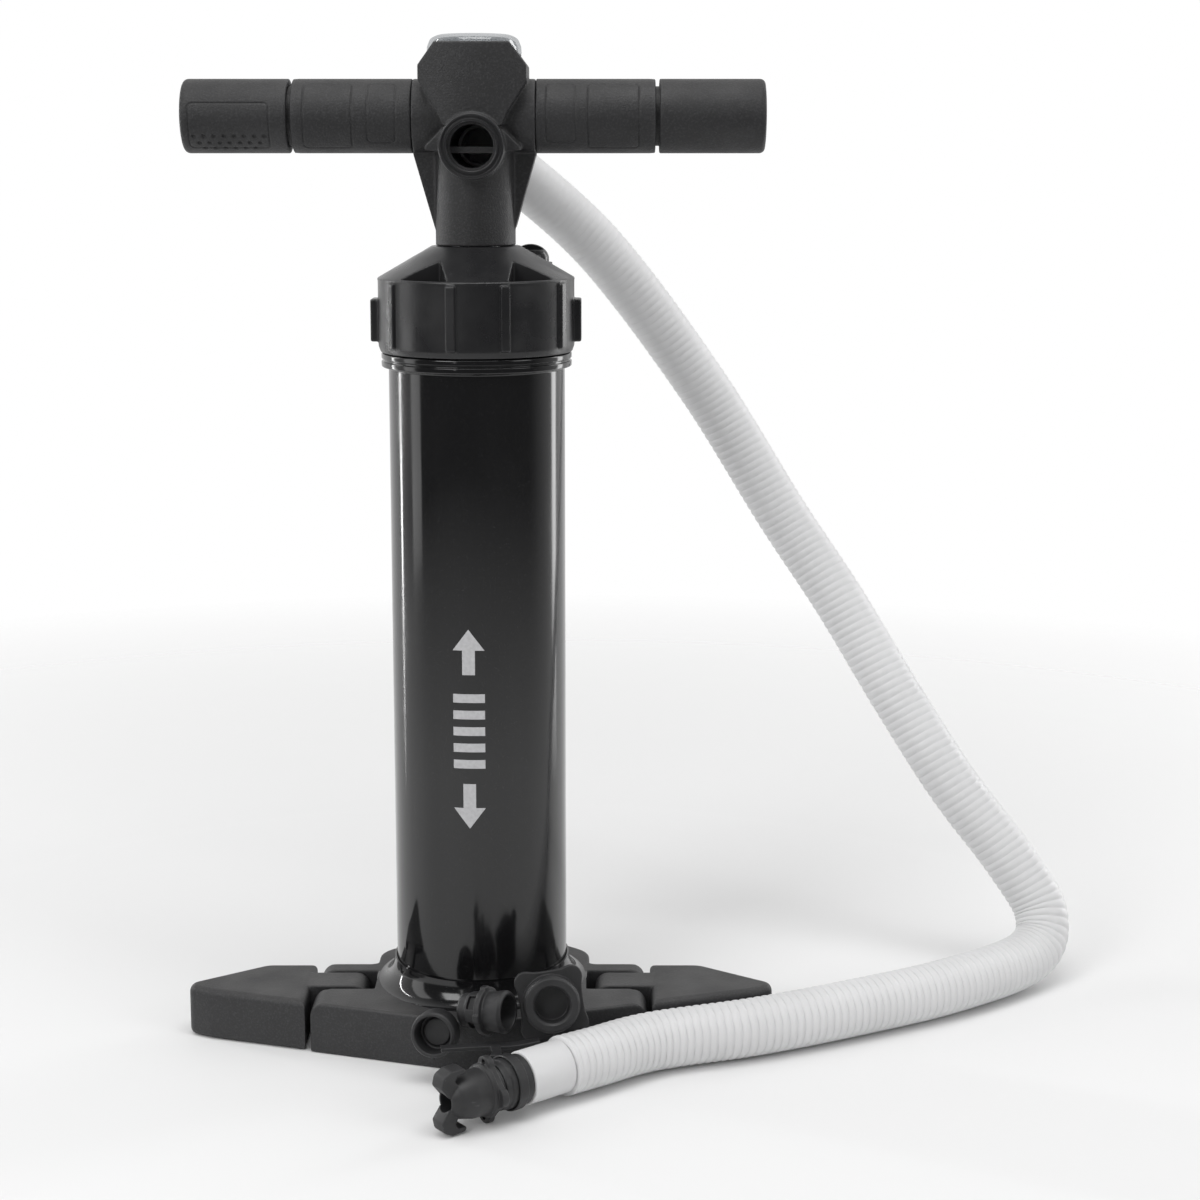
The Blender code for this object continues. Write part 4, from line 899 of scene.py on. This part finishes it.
def frame_line(x, angle, panel, width=0.0007):
    """1 on the outline of a panel (x from, x to, angle from, angle to), fading over the line's width."""
    x0, x1, a0, a1 = panel
    across = (angle - (a0 + a1) / 2) * GRIP_RADIUS
    half_a = (a1 - a0) / 2 * GRIP_RADIUS
    half_x = (x1 - x0) / 2
    corner = 0.003
    past_x = abs(x - (x0 + x1) / 2) - half_x + corner
    past_a = abs(across) - half_a + corner
    outside = hypot(max(past_x, 0.0), max(past_a, 0.0)) + min(max(past_x, past_a), 0.0) - corner
    return 1.0 - smooth_step(abs(outside), 0.0, width)


def dimple(x, angle, dots, radius=0.0014):
    """Depth share of the nearest dimple at (x, angle)."""
    best = 0.0
    for dot_x, dot_angle in dots:
        away = hypot(x - dot_x, (angle - dot_angle) * GRIP_RADIUS)
        best = max(best, 1.0 - smooth_step(away, radius * 0.45, radius))
    return best


def sleeve_relief(x, angle, panels, dots):
    """How far the sleeve's surface sinks; angle 0 faces front and grows upward."""
    line_depth, dimple_depth = 0.00045, 0.0009
    angle = (angle + pi) % (2 * pi) - pi
    line = max([frame_line(x, angle, panel) for panel in panels], default=0.0)
    return line_depth * line + dimple_depth * dimple(x, angle, dots)


def sleeve_profile(start, end, closed_end):
    """Rings (radius, x) of a sleeve, outside first; a closed end is rounded and has an inner face."""
    step, edge, wall = 0.00048, 0.001, 0.0037
    length = abs(end - start)
    way = 1 if end > start else -1
    inner = BAR_CORE_RADIUS + 0.0003
    rings = [(inner, start), (GRIP_RADIUS - 0.0006, start), (GRIP_RADIUS - 0.0002, start + way * 0.0002)]
    count = int(length / step)
    plain = length - 0.0006 - edge * 3
    rings += [(GRIP_RADIUS, start + way * (0.0006 + plain * i / count)) for i in range(count + 1)]
    if not closed_end:
        return rings + [(GRIP_RADIUS - 0.0002, end - way * 0.0003), (GRIP_RADIUS - 0.0007, end), (inner, end)]
    for degrees in range(15, 91, 15):
        t = radians(degrees)
        rings.append((GRIP_RADIUS - edge * 2.4 * (1 - cos(t)), end - way * edge * 3 * (1 - sin(t))))
    return rings + [(0.0, end), (0.0, end - way * wall), (inner, end - way * wall)]


def sleeve(name, start, end, closed_end, panels, dots, node):
    """Grip sleeve from x start to x end: a fine skin with sunk panel outlines and dimples."""
    around = 288
    edit = bmesh.new()
    loops = []
    for radius, x in sleeve_profile(start, end, closed_end):
        grip_face = abs(radius - GRIP_RADIUS) < 0.00001
        loop = []
        for i in range(around):
            angle = 2 * pi * i / around
            out = radius - (sleeve_relief(x, angle, panels, dots) if grip_face else 0.0)
            loop.append(edit.verts.new((x, -out * cos(angle), BAR_Z + out * sin(angle))))
        loops.append(loop)
    for first, second in zip(loops, loops[1:] + loops[:1]):
        for i in range(around):
            j = (i + 1) % around
            edit.faces.new((first[i], first[j], second[j], second[i]))
    bmesh.ops.remove_doubles(edit, verts=edit.verts, dist=0.000002)
    finish_piece(name, new_object(edit), GRIP, "handle", node, sharp=50)


def grips():
    """Four sleeves; the inner ones carry two panels each, the outer left one a panel and dimples."""
    full, part, short = radians(58), radians(46), radians(20)
    dimples = []
    for row in range(3):
        for column in range(8 - row):
            dimples.append((-0.1545 + (column + row * 0.5) * 0.0056, radians(-33 - row * 13)))
    inner_start, inner_end = HUB_HALF + 0.0003, high("grip_inner_right").x
    outer_start = low("grip_outer_right").x
    left = [(-0.094, -0.0672, -full, full), (-0.0585, -0.043, -part, full)]
    right = [(0.04, 0.0562, -part, full), (0.0632, 0.0915, -full, full)]
    end_panel = [(-0.1572, -0.1128, -full, short)]
    sleeve("grip_sleeve_inner_left", -inner_start, -inner_end, False, left, [], "grip_inner_left")
    sleeve("grip_sleeve_inner_right", inner_start, inner_end, False, right, [], "grip_inner_right")
    sleeve("grip_sleeve_outer_left", -outer_start, -BAR_END_X, True, end_panel, dimples, "grip_outer_left")
    sleeve("grip_sleeve_outer_right", outer_start, BAR_END_X, True, [], [], "grip_outer_right")


def port_rings():
    """Trim rings with a turned groove."""
    bore, height, groove = PORT_RADIUS - 0.0047, 0.004, 0.0034
    corners = [(bore, 0.0, 0.0), (PORT_RADIUS, 0.0, 0.0003), (PORT_RADIUS, height, 0.001),
               (0.0164, height, 0.0002), (0.016, groove, 0.0002), (0.0152, groove, 0.0002),
               (0.0148, height, 0.0002), (bore, height, 0.0007)]
    for name, sign, near in (("front", -1, FRONT_PORT_Y - 0.0003), ("rear", 1, REAR_PORT_Y + 0.0003)):
        profile = [(radius, near + sign * h) for radius, h in rounded(corners, segments=4)]
        ring = lathe(profile, ROUND, True, along_y(z=PORT_Z))
        finish_piece(f"port_trim_{name}", ring, SATIN, "handle", f"port_ring_{name}")


def piston_tube():
    """Hollow rod with two cross drillings near its foot."""
    bottom, top, bore = low("piston_rod").z, high("piston_rod").z, 0.012
    corners = [(bore, top, 0.0), (ROD_RADIUS, top, 0.0004), (ROD_RADIUS, bottom, 0.0004), (bore, bottom, 0.0)]
    tube = lathe(rounded(corners), ROUND, True)
    port_z = bottom + 0.0095
    lays = (along_x(z=port_z), along_y(z=port_z))
    carve(tube, [rod(0.0032, -0.03, 0.03, lay, 32) for lay in lays])
    finish_piece("rod_tube", tube, ALUMINIUM, "handle", "piston_rod")


def screw_heads():
    """Cross-recessed heads down the rear shell's wells."""
    head, shank, shank_end = 0.0031, 0.0016, -0.0035
    for number, node in enumerate(HANDLE_SCREWS, 1):
        middle, top = (low(node) + high(node)) / 2, high(node).y
        under = top - 0.0025
        corners = [(0.0, top, 0.0), (head, top, 0.0008), (head, under, 0.0002), (shank, under, 0.0),
                   (shank, shank_end, 0.0), (0.0, shank_end, 0.0)]
        lay = along_y(middle.x, 0, middle.z)
        screw = lathe(rounded(corners, closed=False), 40, False, lay)
        cross = [block((0.0036, 0.0009, 0.0024), (0, 0, top), lay @ about_z(a)) for a in (20, 110)]
        carve(screw, cross)
        finish_piece(f"handle_screw_head_{number}", screw, STEEL, "handle", node)


# ---------------------------------------------------------------- gauge

def dial_tick(number, height):
    """One mark of the scale, longer at every fifth."""
    size = (0.0032, 0.0007, 0.0001) if number % 5 == 0 else (0.0018, 0.00035, 0.0001)
    turned = Matrix.Rotation(radians(225 - number * 9), 4, "Z")
    return block(size, (0, 0, 0), turned @ Matrix.Translation((0.0222 - size[0] / 2, 0, height)))


def dial_number(number, height):
    """Plain figure inside the scale, five units for each step."""
    angle, reach_out = radians(225 - number * 45), 0.0152
    font = bpy.data.curves.new("figure", "FONT")
    font.body = str(number * 5)
    font.size = 0.0048
    font.extrude = 0.00005
    font.align_x = "CENTER"
    font.align_y = "CENTER"
    text = placed(bpy.data.objects.new("figure", font))
    bpy.context.view_layer.update()
    mesh = bpy.data.meshes.new_from_object(text)
    discard([text])
    mesh.transform(Matrix.Translation((reach_out * cos(angle), reach_out * sin(angle), height)))
    return placed(bpy.data.objects.new("figure", mesh))


def dial_marks():
    """Ticks over three quarters of the dial and plain numbers inside them."""
    height = high("gauge_dial").z + 0.00005
    ticks = [dial_tick(number, height) for number in range(31)]
    numbers = [dial_number(number, height) for number in range(7)]
    finish_piece("dial_marks", merged(ticks + numbers), INK_BLACK, "handle")


def gauge():
    """Cup, dial face, marks and window."""
    bottom, top = low("gauge_housing").z, high("gauge_housing").z
    floor_z, inlet, inside = bottom + 0.0016, 0.002, 0.0248
    cup = [(GAUGE_RADIUS, top, 0.0004), (GAUGE_RADIUS, bottom, 0.0008), (inlet, bottom, 0.0),
           (inlet, floor_z, 0.0), (inside, floor_z, 0.0003), (inside, top, 0.0004)]
    turned_piece("gauge_cup", cup, SATIN, "handle", "gauge_housing")
    under, face_z, axle = low("gauge_dial").z, high("gauge_dial").z, 0.0012
    disc = [(DIAL_RADIUS, face_z), (DIAL_RADIUS, under), (axle, under), (axle, face_z)]
    finish_piece("gauge_face", lathe(disc, ROUND, True), DIAL, "handle", "gauge_dial")
    dial_marks()
    gauge_window()


def gauge_window():
    """Clear domed window."""
    top, bottom = high("gauge_lens").z, low("gauge_lens").z
    outer = [(0.0, top, 0.0), (0.02, top - 0.0003, 0.012), (0.0244, top - 0.0026, 0.004),
             (0.0262, top - 0.007, 0.003), (GAUGE_RADIUS, bottom, 0.0003)]
    inner = [(0.0246, bottom, 0.0002), (0.0244, top - 0.0076, 0.002), (0.023, top - 0.0042, 0.003),
             (0.019, top - 0.0021, 0.01), (0.0, top - 0.0018, 0.0)]
    lens = lathe(rounded(outer + inner, closed=False, segments=6), ROUND)
    finish_piece("gauge_window", lens, LENS, "handle", "gauge_lens")


# ---------------------------------------------------------------- hose

def spline_through(points, steps):
    """Catmull-Rom samples through the points."""
    dots = [Vector(p) for p in points]
    dots = [dots[0] * 2 - dots[1]] + dots + [dots[-1] * 2 - dots[-2]]
    samples = []
    for i in range(1, len(dots) - 2):
        a, b, c, d = dots[i - 1:i + 3]
        for step in range(steps):
            t = step / steps
            bend = 2 * a - 5 * b + 4 * c - d
            twist = 3 * b - a - 3 * c + d
            samples.append(0.5 * (2 * b + (c - a) * t + bend * t ** 2 + twist * t ** 3))
    return samples + [dots[-2]]


def evenly(points, spacing):
    """The same line with its points an even distance apart."""
    found = [points[0]]
    left = spacing
    for a, b in zip(points, points[1:]):
        length = (b - a).length
        gone = 0.0
        while length - gone >= left:
            gone += left
            found.append(a.lerp(b, gone / length))
            left = spacing
        left -= length - gone
    return found


def hose_radius(distance, total, turn):
    """Radius at a distance along the hose: a smooth start, then a shallow spiral rib."""
    fade = smooth_step(distance, 0.03, 0.12)
    strength = 0.25 + 0.75 * smooth_step(distance, 0.45 * total, 0.8 * total)
    rib = abs(sin(pi * (distance / HOSE_PITCH + turn))) ** 0.55
    settle = 1.0 - smooth_step(distance, total - 0.004, total)
    return HOSE_RADIUS - HOSE_GROOVE * fade * (0.45 + 0.55 * strength) * (1.0 - rib) * settle


def joined_rings(edit, rings):
    """Walls between one ring of vertices and the next, closed at both ends."""
    count = len(rings[0])
    for first, second in zip(rings, rings[1:]):
        for k in range(count):
            edit.faces.new((first[k], first[(k + 1) % count], second[(k + 1) % count], second[k]))
    edit.faces.new(rings[0])
    edit.faces.new(rings[-1])


def heading(line, i):
    """Direction of the line at its point i."""
    return (line[min(i + 1, len(line) - 1)] - line[max(i - 1, 0)]).normalized()


def hose():
    """Corrugated tube from the handle's rear port to the valve end."""
    around, spacing = 40, HOSE_PITCH / 8
    line = evenly(spline_through(HOSE_PATH, 24), spacing)
    total = (len(line) - 1) * spacing
    edit = bmesh.new()
    side = Vector((0, 0, 1))
    rings = []
    for i, point in enumerate(line):
        ahead = heading(line, i)
        side = (side - ahead * side.dot(ahead)).normalized()
        other = ahead.cross(side)
        ring = []
        for k in range(around):
            turn = k / around
            angle = 2 * pi * turn
            out = side * cos(angle) + other * sin(angle)
            ring.append(edit.verts.new(point + out * hose_radius(i * spacing, total, turn)))
        rings.append(ring)
    joined_rings(edit, rings)
    tube = finish_piece("hose_corrugated", new_object(edit), HOSE, None, "hose", sharp=0)
    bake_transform(tube)


def hose_handle_end():
    """Smooth end of the hose and the ribbed locking nut round its neck."""
    lay = along_y(z=PORT_Z)
    start, end = low("hose_cuff_upper").y, high("hose_cuff_upper").y
    bore, neck, wide, shoulder = 0.01, 0.0119, 0.0172, 0.0605
    cuff = [(bore, end, 0.0), (0.0152, end, 0.001), (wide, end - 0.002, 0.001), (wide, 0.062, 0.0008),
            (0.0162, shoulder, 0.0003), (neck, shoulder, 0.0), (neck, start, 0.0003), (bore, start, 0.0)]
    turned_piece("hose_end_upper", cuff, HOSE, "handle", "hose_cuff_upper", lay)
    start, end = low("hose_nut").y, high("hose_nut").y
    bore, rim, wide, slope = 0.0128, 0.0166, 0.0175, 0.0016
    ring = [(bore, end, 0.0), (rim, end, 0.0008), (wide, end - slope, 0.0008), (wide, start + slope, 0.0008),
            (rim, start, 0.0008), (bore, start, 0.0)]
    shapes = [lathe(rounded(ring, segments=4), ROUND, True, lay)]
    for angle in four_ways(45):
        place = (0.0172, 0.0, 0.0515)
        shapes.append(block((0.004, 0.004, 0.013), place, lay @ about_z(angle), 0.0007))
    moulded_piece("hose_locking_nut", shapes, [], 0.00035, 3, SATIN, "hose_nut", "hose_nut")


# ---------------------------------------------------------------- valve end

def fitting_frame():
    up = Vector((0, 0, 1))
    side = FITTING_AXIS.cross(up)
    rotation = Matrix((up, side, FITTING_AXIS)).transposed().to_4x4()
    return Matrix.Translation(FITTING_ORIGIN) @ rotation


def facing(place, direction):
    turn = Vector(direction).to_track_quat("Z", "Y").to_matrix().to_4x4()
    return Matrix.Translation(place) @ turn


def lobed_square(half, corner, bottom, top, matrix):
    """Square flange with round lobes at its corners and sides that draw in between them."""
    hollow, steps = 0.0014, (0.3, 0.4, 0.5, 0.6, 0.7)
    lobe = arc((half - corner, half - corner), corner, -8, 98, 8)
    side = [(half * (1 - 2 * t), half - hollow * sin(pi * t)) for t in steps]
    outline = []
    for degrees in four_ways(0):
        angle = radians(degrees)
        c, s = cos(angle), sin(angle)
        outline += [(x * c - y * s, x * s + y * c) for x, y in lobe + side]
    return prism(outline, bottom, top, matrix, 0.0006, 2)


def valve_cuffs():
    """White end of the hose and the black sleeve in front of it."""
    here = fitting_frame()
    bore, wide, start, end = 0.011, 0.0146, -0.0274, -0.0003
    white = [(bore, end, 0.0), (wide, end, 0.0009), (wide, start, 0.0006), (bore, start, 0.0)]
    turned_piece("hose_end_lower", white, HOSE, "base", "hose_cuff_lower", here)
    bore, neck, wide = 0.01, 0.0131, 0.0137
    black = [(bore, 0.018, 0.0), (neck, 0.018, 0.0008), (neck, 0.0142, 0.0004), (wide, 0.0136, 0.0004),
             (wide, 0.0, 0.0008), (bore, 0.0, 0.0)]
    sleeve_end = lathe(rounded(black), ROUND, True, here)
    recess = block((0.009, 0.003, 0.0055), (-0.0035, 0.0138, 0.0125), here, 0.001)
    moulded_piece("connector_sleeve", [sleeve_end], [recess], 0.00034, 3, RUBBER, "base", "connector_cuff")


def valve_claw(sign, here):
    """Bayonet claw: it leaves the nose at its tip and turns back beside it, so that a slot stays between."""
    outline = rounded([(0.003, 0.0495, 0.0), (0.0095, 0.0545, 0.002), (0.0152, 0.0532, 0.004),
                       (0.0178, 0.048, 0.004), (0.0176, 0.0395, 0.0012), (0.0146, 0.0385, 0.001),
                       (0.0146, 0.044, 0.0016), (0.0118, 0.0458, 0.001), (0.008, 0.043, 0.0)], segments=5)
    return prism([(sign * x, z) for x, z in outline], -0.005, 0.005, here @ upright(), 0.0006, 2)


def valve_fitting():
    """Nose with a bayonet claw on either side, behind a flange with two lugs."""
    here = fitting_frame()
    nose = [(0.0, 0.0492, 0.0), (0.0066, 0.0488, 0.002), (0.0104, 0.044, 0.008), (0.0126, 0.035, 0.01),
            (0.0129, 0.0262, 0.0), (0.0129, 0.0183, 0.0006), (0.0, 0.0183, 0.0)]
    ring = [(0.0, 0.0268), (0.0136, 0.0268), (0.0145, 0.0256), (0.0145, 0.024), (0.0, 0.024)]
    shapes = [lathe(rounded(nose, closed=False), MEDIUM, False, here),
              lobed_square(0.015, 0.006, 0.0205, 0.0245, here @ about_z(45)),
              lathe(ring, MEDIUM, False, here),
              valve_claw(1, here), valve_claw(-1, here)]
    removed = [rod(0.0052, 0.01, 0.06, here, 48)]
    for sign in (1, -1):
        lug = here @ Matrix.Translation((sign * 0.0158, 0, 0))
        removed.append(rod(0.0014, 0.019, 0.027, lug, 24))
    moulded_piece("valve_connector", shapes, removed, 0.0003, 3, RUBBER, "fitting", "valve_fitting")


def strap_band(points, width, thick):
    """Flat flexible web through the points, its width lying level."""
    line = evenly(spline_through(points, 10), 0.001)
    edit = bmesh.new()
    rings = []
    for i, point in enumerate(line):
        ahead = heading(line, i)
        side = ahead.cross(Vector((0, 0, 1))).normalized()
        over = side.cross(ahead)
        ring = []
        for a, b in ((1, 1), (-1, 1), (-1, -1), (1, -1)):
            ring.append(edit.verts.new(point + side * (a * width / 2) + over * (b * thick / 2)))
        rings.append(ring)
    joined_rings(edit, rings)
    return new_object(edit)


def adapter_strap():
    """Split ring on the cuff and the web that carries the spare adapters."""
    inner, outer, start, end = 0.014, 0.0152, 0.0048, 0.0108
    loop = [(inner, start, 0.0003), (outer, start, 0.0005), (outer, end, 0.0005), (inner, end, 0.0003)]
    ring = lathe(rounded(loop, segments=3), MEDIUM, True, fitting_frame())
    thick, narrow, wide = 0.0022, 0.0052, 0.006
    web = strap_band(((0.0128, -0.1216, 0.0285), (0.0135, -0.112, 0.0272), (0.0125, -0.103, 0.0262),
                      (0.011, -0.099, 0.0256)), narrow, thick)
    left = strap_band(((0.017, -0.0985, 0.0256), (0.0, -0.1, 0.0256), (-0.011, -0.1012, 0.0254),
                       (-0.0185, -0.102, 0.0252)), wide, thick)
    right = strap_band(((0.006, -0.0992, 0.0256), (0.02, -0.0985, 0.0256), (0.03, -0.0962, 0.0262),
                        (0.0372, -0.095, 0.0272)), wide, thick)
    shapes = [ring, web, left, right]
    moulded_piece("adapter_web", shapes, [], 0.00036, 4, RUBBER, "adapters", "adapter_strap")


def adapter_cup():
    """Cup with a raised round step inside and a stud on its side."""
    here = facing((-0.0215, -0.0885, 0.029), (-0.25, -0.95, 0.12))
    corners = [(0.0, -0.0034, 0.0), (0.0098, -0.0034, 0.0006), (0.0104, 0.0054, 0.0), (0.0108, 0.006, 0.0003),
               (0.0121, 0.006, 0.0006), (0.013, 0.0048, 0.0008), (0.013, -0.0046, 0.0014),
               (0.0112, -0.0062, 0.001), (0.0, -0.0062, 0.0)]
    disc = [(0.0, -0.0022), (0.0074, -0.0022), (0.008, -0.0028), (0.008, -0.004), (0.0, -0.004)]
    shapes = [lathe(rounded(corners, closed=False, segments=5), ROUND, False, here),
              lathe(disc, MEDIUM, False, here),
              rod(0.0011, 0.012, 0.0146, here @ Matrix.Rotation(radians(80), 4, "X"), 24)]
    moulded_piece("adapter_cup_shell", shapes, [], 0.00032, 3, RUBBER, "adapters", "adapter_cup")


def adapter_double():
    """Stepped adapter with four lugs and four windows round its waist."""
    here = facing((0.0065, -0.086, 0.041), (0.88, -0.4, 0.1)) @ Matrix.Scale(1.14, 4)
    corners = [(0.0082, 0.0125, 0.0), (0.0094, 0.0125, 0.0004), (0.0105, 0.011, 0.0006), (0.0094, 0.003, 0.0),
               (0.0094, 0.0022, 0.0003), (0.0117, 0.002, 0.0005), (0.0117, -0.001, 0.0005),
               (0.009, -0.0014, 0.0004), (0.009, -0.007, 0.0004), (0.0081, -0.0084, 0.0004),
               (0.0081, -0.0112, 0.0004), (0.0072, -0.0125, 0.0004), (0.005, -0.0125, 0.0), (0.006, 0.0, 0.0)]
    shapes = [lathe(rounded(corners, segments=3), ROUND, True, here)]
    for angle in four_ways(0):
        turned = here @ about_z(angle)
        shapes.append(block((0.0026, 0.004, 0.0034), (0.0112, 0.0, 0.0005), turned, 0.0006))
    windows = []
    for angle in four_ways(45):
        turned = here @ about_z(angle)
        windows.append(block((0.006, 0.007, 0.0042), (0.0098, 0.0, -0.0042), turned))
    moulded_piece("adapter_double_shell", shapes, windows, 0.0003, 3, RUBBER, "adapters", "adapter_double")


def adapter_square():
    """Round adapter on a lobed square flange, closed by a disc."""
    here = facing((0.043, -0.0825, 0.044), (0.05, -0.98, 0.2))
    bore, wide, back, disc_face = 0.0098, 0.0158, -0.0045, -0.0022
    corners = [(bore, -0.004, 0.0), (wide, -0.004, 0.0), (wide, 0.006, 0.001), (0.0146, 0.008, 0.0008),
               (0.0112, 0.008, 0.0006), (bore, 0.0066, 0.0006)]
    shapes = [lathe(rounded(corners, segments=4), ROUND, True, here),
              lobed_square(0.0192, 0.0062, back, -0.001, here @ about_z(8)),
              rod(bore + 0.001, back, disc_face, here, MEDIUM)]
    bore_space = rod(bore, disc_face, 0.03, here, MEDIUM)
    moulded_piece("adapter_square_shell", shapes, [bore_space], 0.00034, 3, RUBBER, "adapters",
                  "adapter_square")


# ---------------------------------------------------------------- looks of the nodes that stay

KEPT_LOOKS = (
    (CHARCOAL, ("barrel_foot", "rod_bush", "piston_plate_lower", "piston_plate_upper", "air_manifold")),
    (RUBBER, ("barrel_foot_seal", "intake_valve_lower", "intake_valve_upper", "cap_seal", "rod_seal",
              "piston_ring", "piston_flap_lower", "piston_flap_upper", "gauge_seal")),
    (SILICONE, ("fitting_seal",)),
    (STEEL, ("base_screw_1", "base_screw_2", "base_screw_3", "hinge_pin_left", "hinge_pin_right",
             "piston_clip", "rod_nut")),
    (RED, ("gauge_needle",)),
)


def dress_kept_nodes():
    for look, nodes in KEPT_LOOKS:
        for node in nodes:
            for slot in frame["nodes"][node].material_slots:
                slot.material = look


# ---------------------------------------------------------------- stage

def floor():
    """Pale matt floor that fades into the pale surround some way off."""
    made, tree, shader = new_look("look_floor", (0.8, 0.8, 0.8), 0.6)
    tree.links.new(remap(tree, noise(tree, 3.0, 3.0), 0.3, 0.7, 0.6, 0.75), shader.inputs["Roughness"])
    place = add_node(tree, "TexCoord").outputs["Object"]
    away = add_node(tree, "VectorMath", {0: place}, operation="LENGTH").outputs["Value"]
    share = remap(tree, away, 0.45, 1.3, 0.0, 1.0)
    clear = add_node(tree, "BsdfTransparent").outputs[0]
    mix = add_node(tree, "MixShader", {0: share, 1: shader.outputs[0], 2: clear})
    tree.links.new(mix.outputs[0], tree.nodes["Material Output"].inputs["Surface"])
    edit = bmesh.new()
    bmesh.ops.create_circle(edit, cap_ends=True, radius=1.4, segments=96)
    disc = new_object(edit)
    disc.name = "studio_floor"
    disc.data.materials.append(made)


def aimed(obj, place, aim):
    """Puts a light or a camera at a place and turns it to face the aim."""
    obj.location = place
    obj.rotation_mode = "QUATERNION"
    obj.rotation_quaternion = (Vector(aim) - Vector(place)).to_track_quat("-Z", "Y")


def softbox(name, place, aim, size, power):
    light = bpy.data.lights.new(name, "AREA")
    light.shape = "RECTANGLE"
    light.size, light.size_y = size
    light.energy = power
    aimed(placed(bpy.data.objects.new(name, light)), place, aim)


def studio_light():
    """White surround; what the gloss parts mirror is bright behind the object and darker in front."""
    world = bpy.data.worlds.new("studio")
    bpy.context.scene.world = world
    world.use_nodes = True
    tree = world.node_tree
    tree.nodes.clear()
    path = add_node(tree, "LightPath")
    direction = add_node(tree, "TexCoord").outputs["Generated"]
    parts = add_node(tree, "SeparateXYZ", {"Vector": direction})
    behind = remap(tree, parts.outputs["Y"], -0.25, 0.55, 0.1, 0.85)
    mirrored = add_node(tree, "Mix", {"Factor": path.outputs["Is Glossy Ray"], 2: 0.42, 3: behind},
                        data_type="FLOAT").outputs[0]
    strength = add_node(tree, "Mix", {"Factor": path.outputs["Is Camera Ray"], 2: mirrored, 3: 1.0},
                        data_type="FLOAT").outputs[0]
    backdrop = add_node(tree, "Background", {"Color": (1.0, 1.0, 1.0, 1.0), "Strength": strength})
    add_node(tree, "OutputWorld", {"Surface": backdrop.outputs[0]})
    target = (0.03, 0.0, 0.26)
    softbox("key_left", (-1.3, -1.7, 1.5), target, (0.9, 1.2), 18)
    softbox("fill_right", (1.9, -1.1, 1.2), target, (0.9, 1.2), 9)
    softbox("side_left", (-1.5, -0.15, 0.6), target, (0.5, 1.6), 4)
    softbox("strip_left", (-1.4, 0.7, 0.45), target, (0.05, 1.9), 7)
    softbox("strip_middle", (-0.75, -1.75, 0.9), target, (0.05, 1.4), 0.8)
    softbox("strip_right", (1.3, 0.8, 0.45), target, (0.3, 1.9), 8)
    softbox("overhead", (0.1, -0.55, 2.2), target, (1.8, 1.1), 22)


def camera():
    place, aim = (0.07, -1.29, 0.519), (0.07, 0.0, 0.306)
    data = bpy.data.cameras.new("camera")
    data.lens = 68.2
    data.sensor_width = 36.0
    data.shift_y = -0.07
    data.clip_start = 0.01
    obj = placed(bpy.data.objects.new("camera", data))
    aimed(obj, place, aim)
    bpy.context.scene.camera = obj


# ---------------------------------------------------------------- assembly

barrel()
barrel_print()
socket_flare()
cap()
selector()
base()
foot_plate("left", -1)
foot_plate("right", 1)
handle_shells()
grips()
port_rings()
piston_tube()
screw_heads()
gauge()
hose()
hose_handle_end()
valve_cuffs()
valve_fitting()
adapter_strap()
adapter_cup()
adapter_double()
adapter_square()
dress_kept_nodes()
floor()
studio_light()
camera()
bpy.context.scene.view_settings.view_transform = "Standard"

bpy.context.view_layer.update()
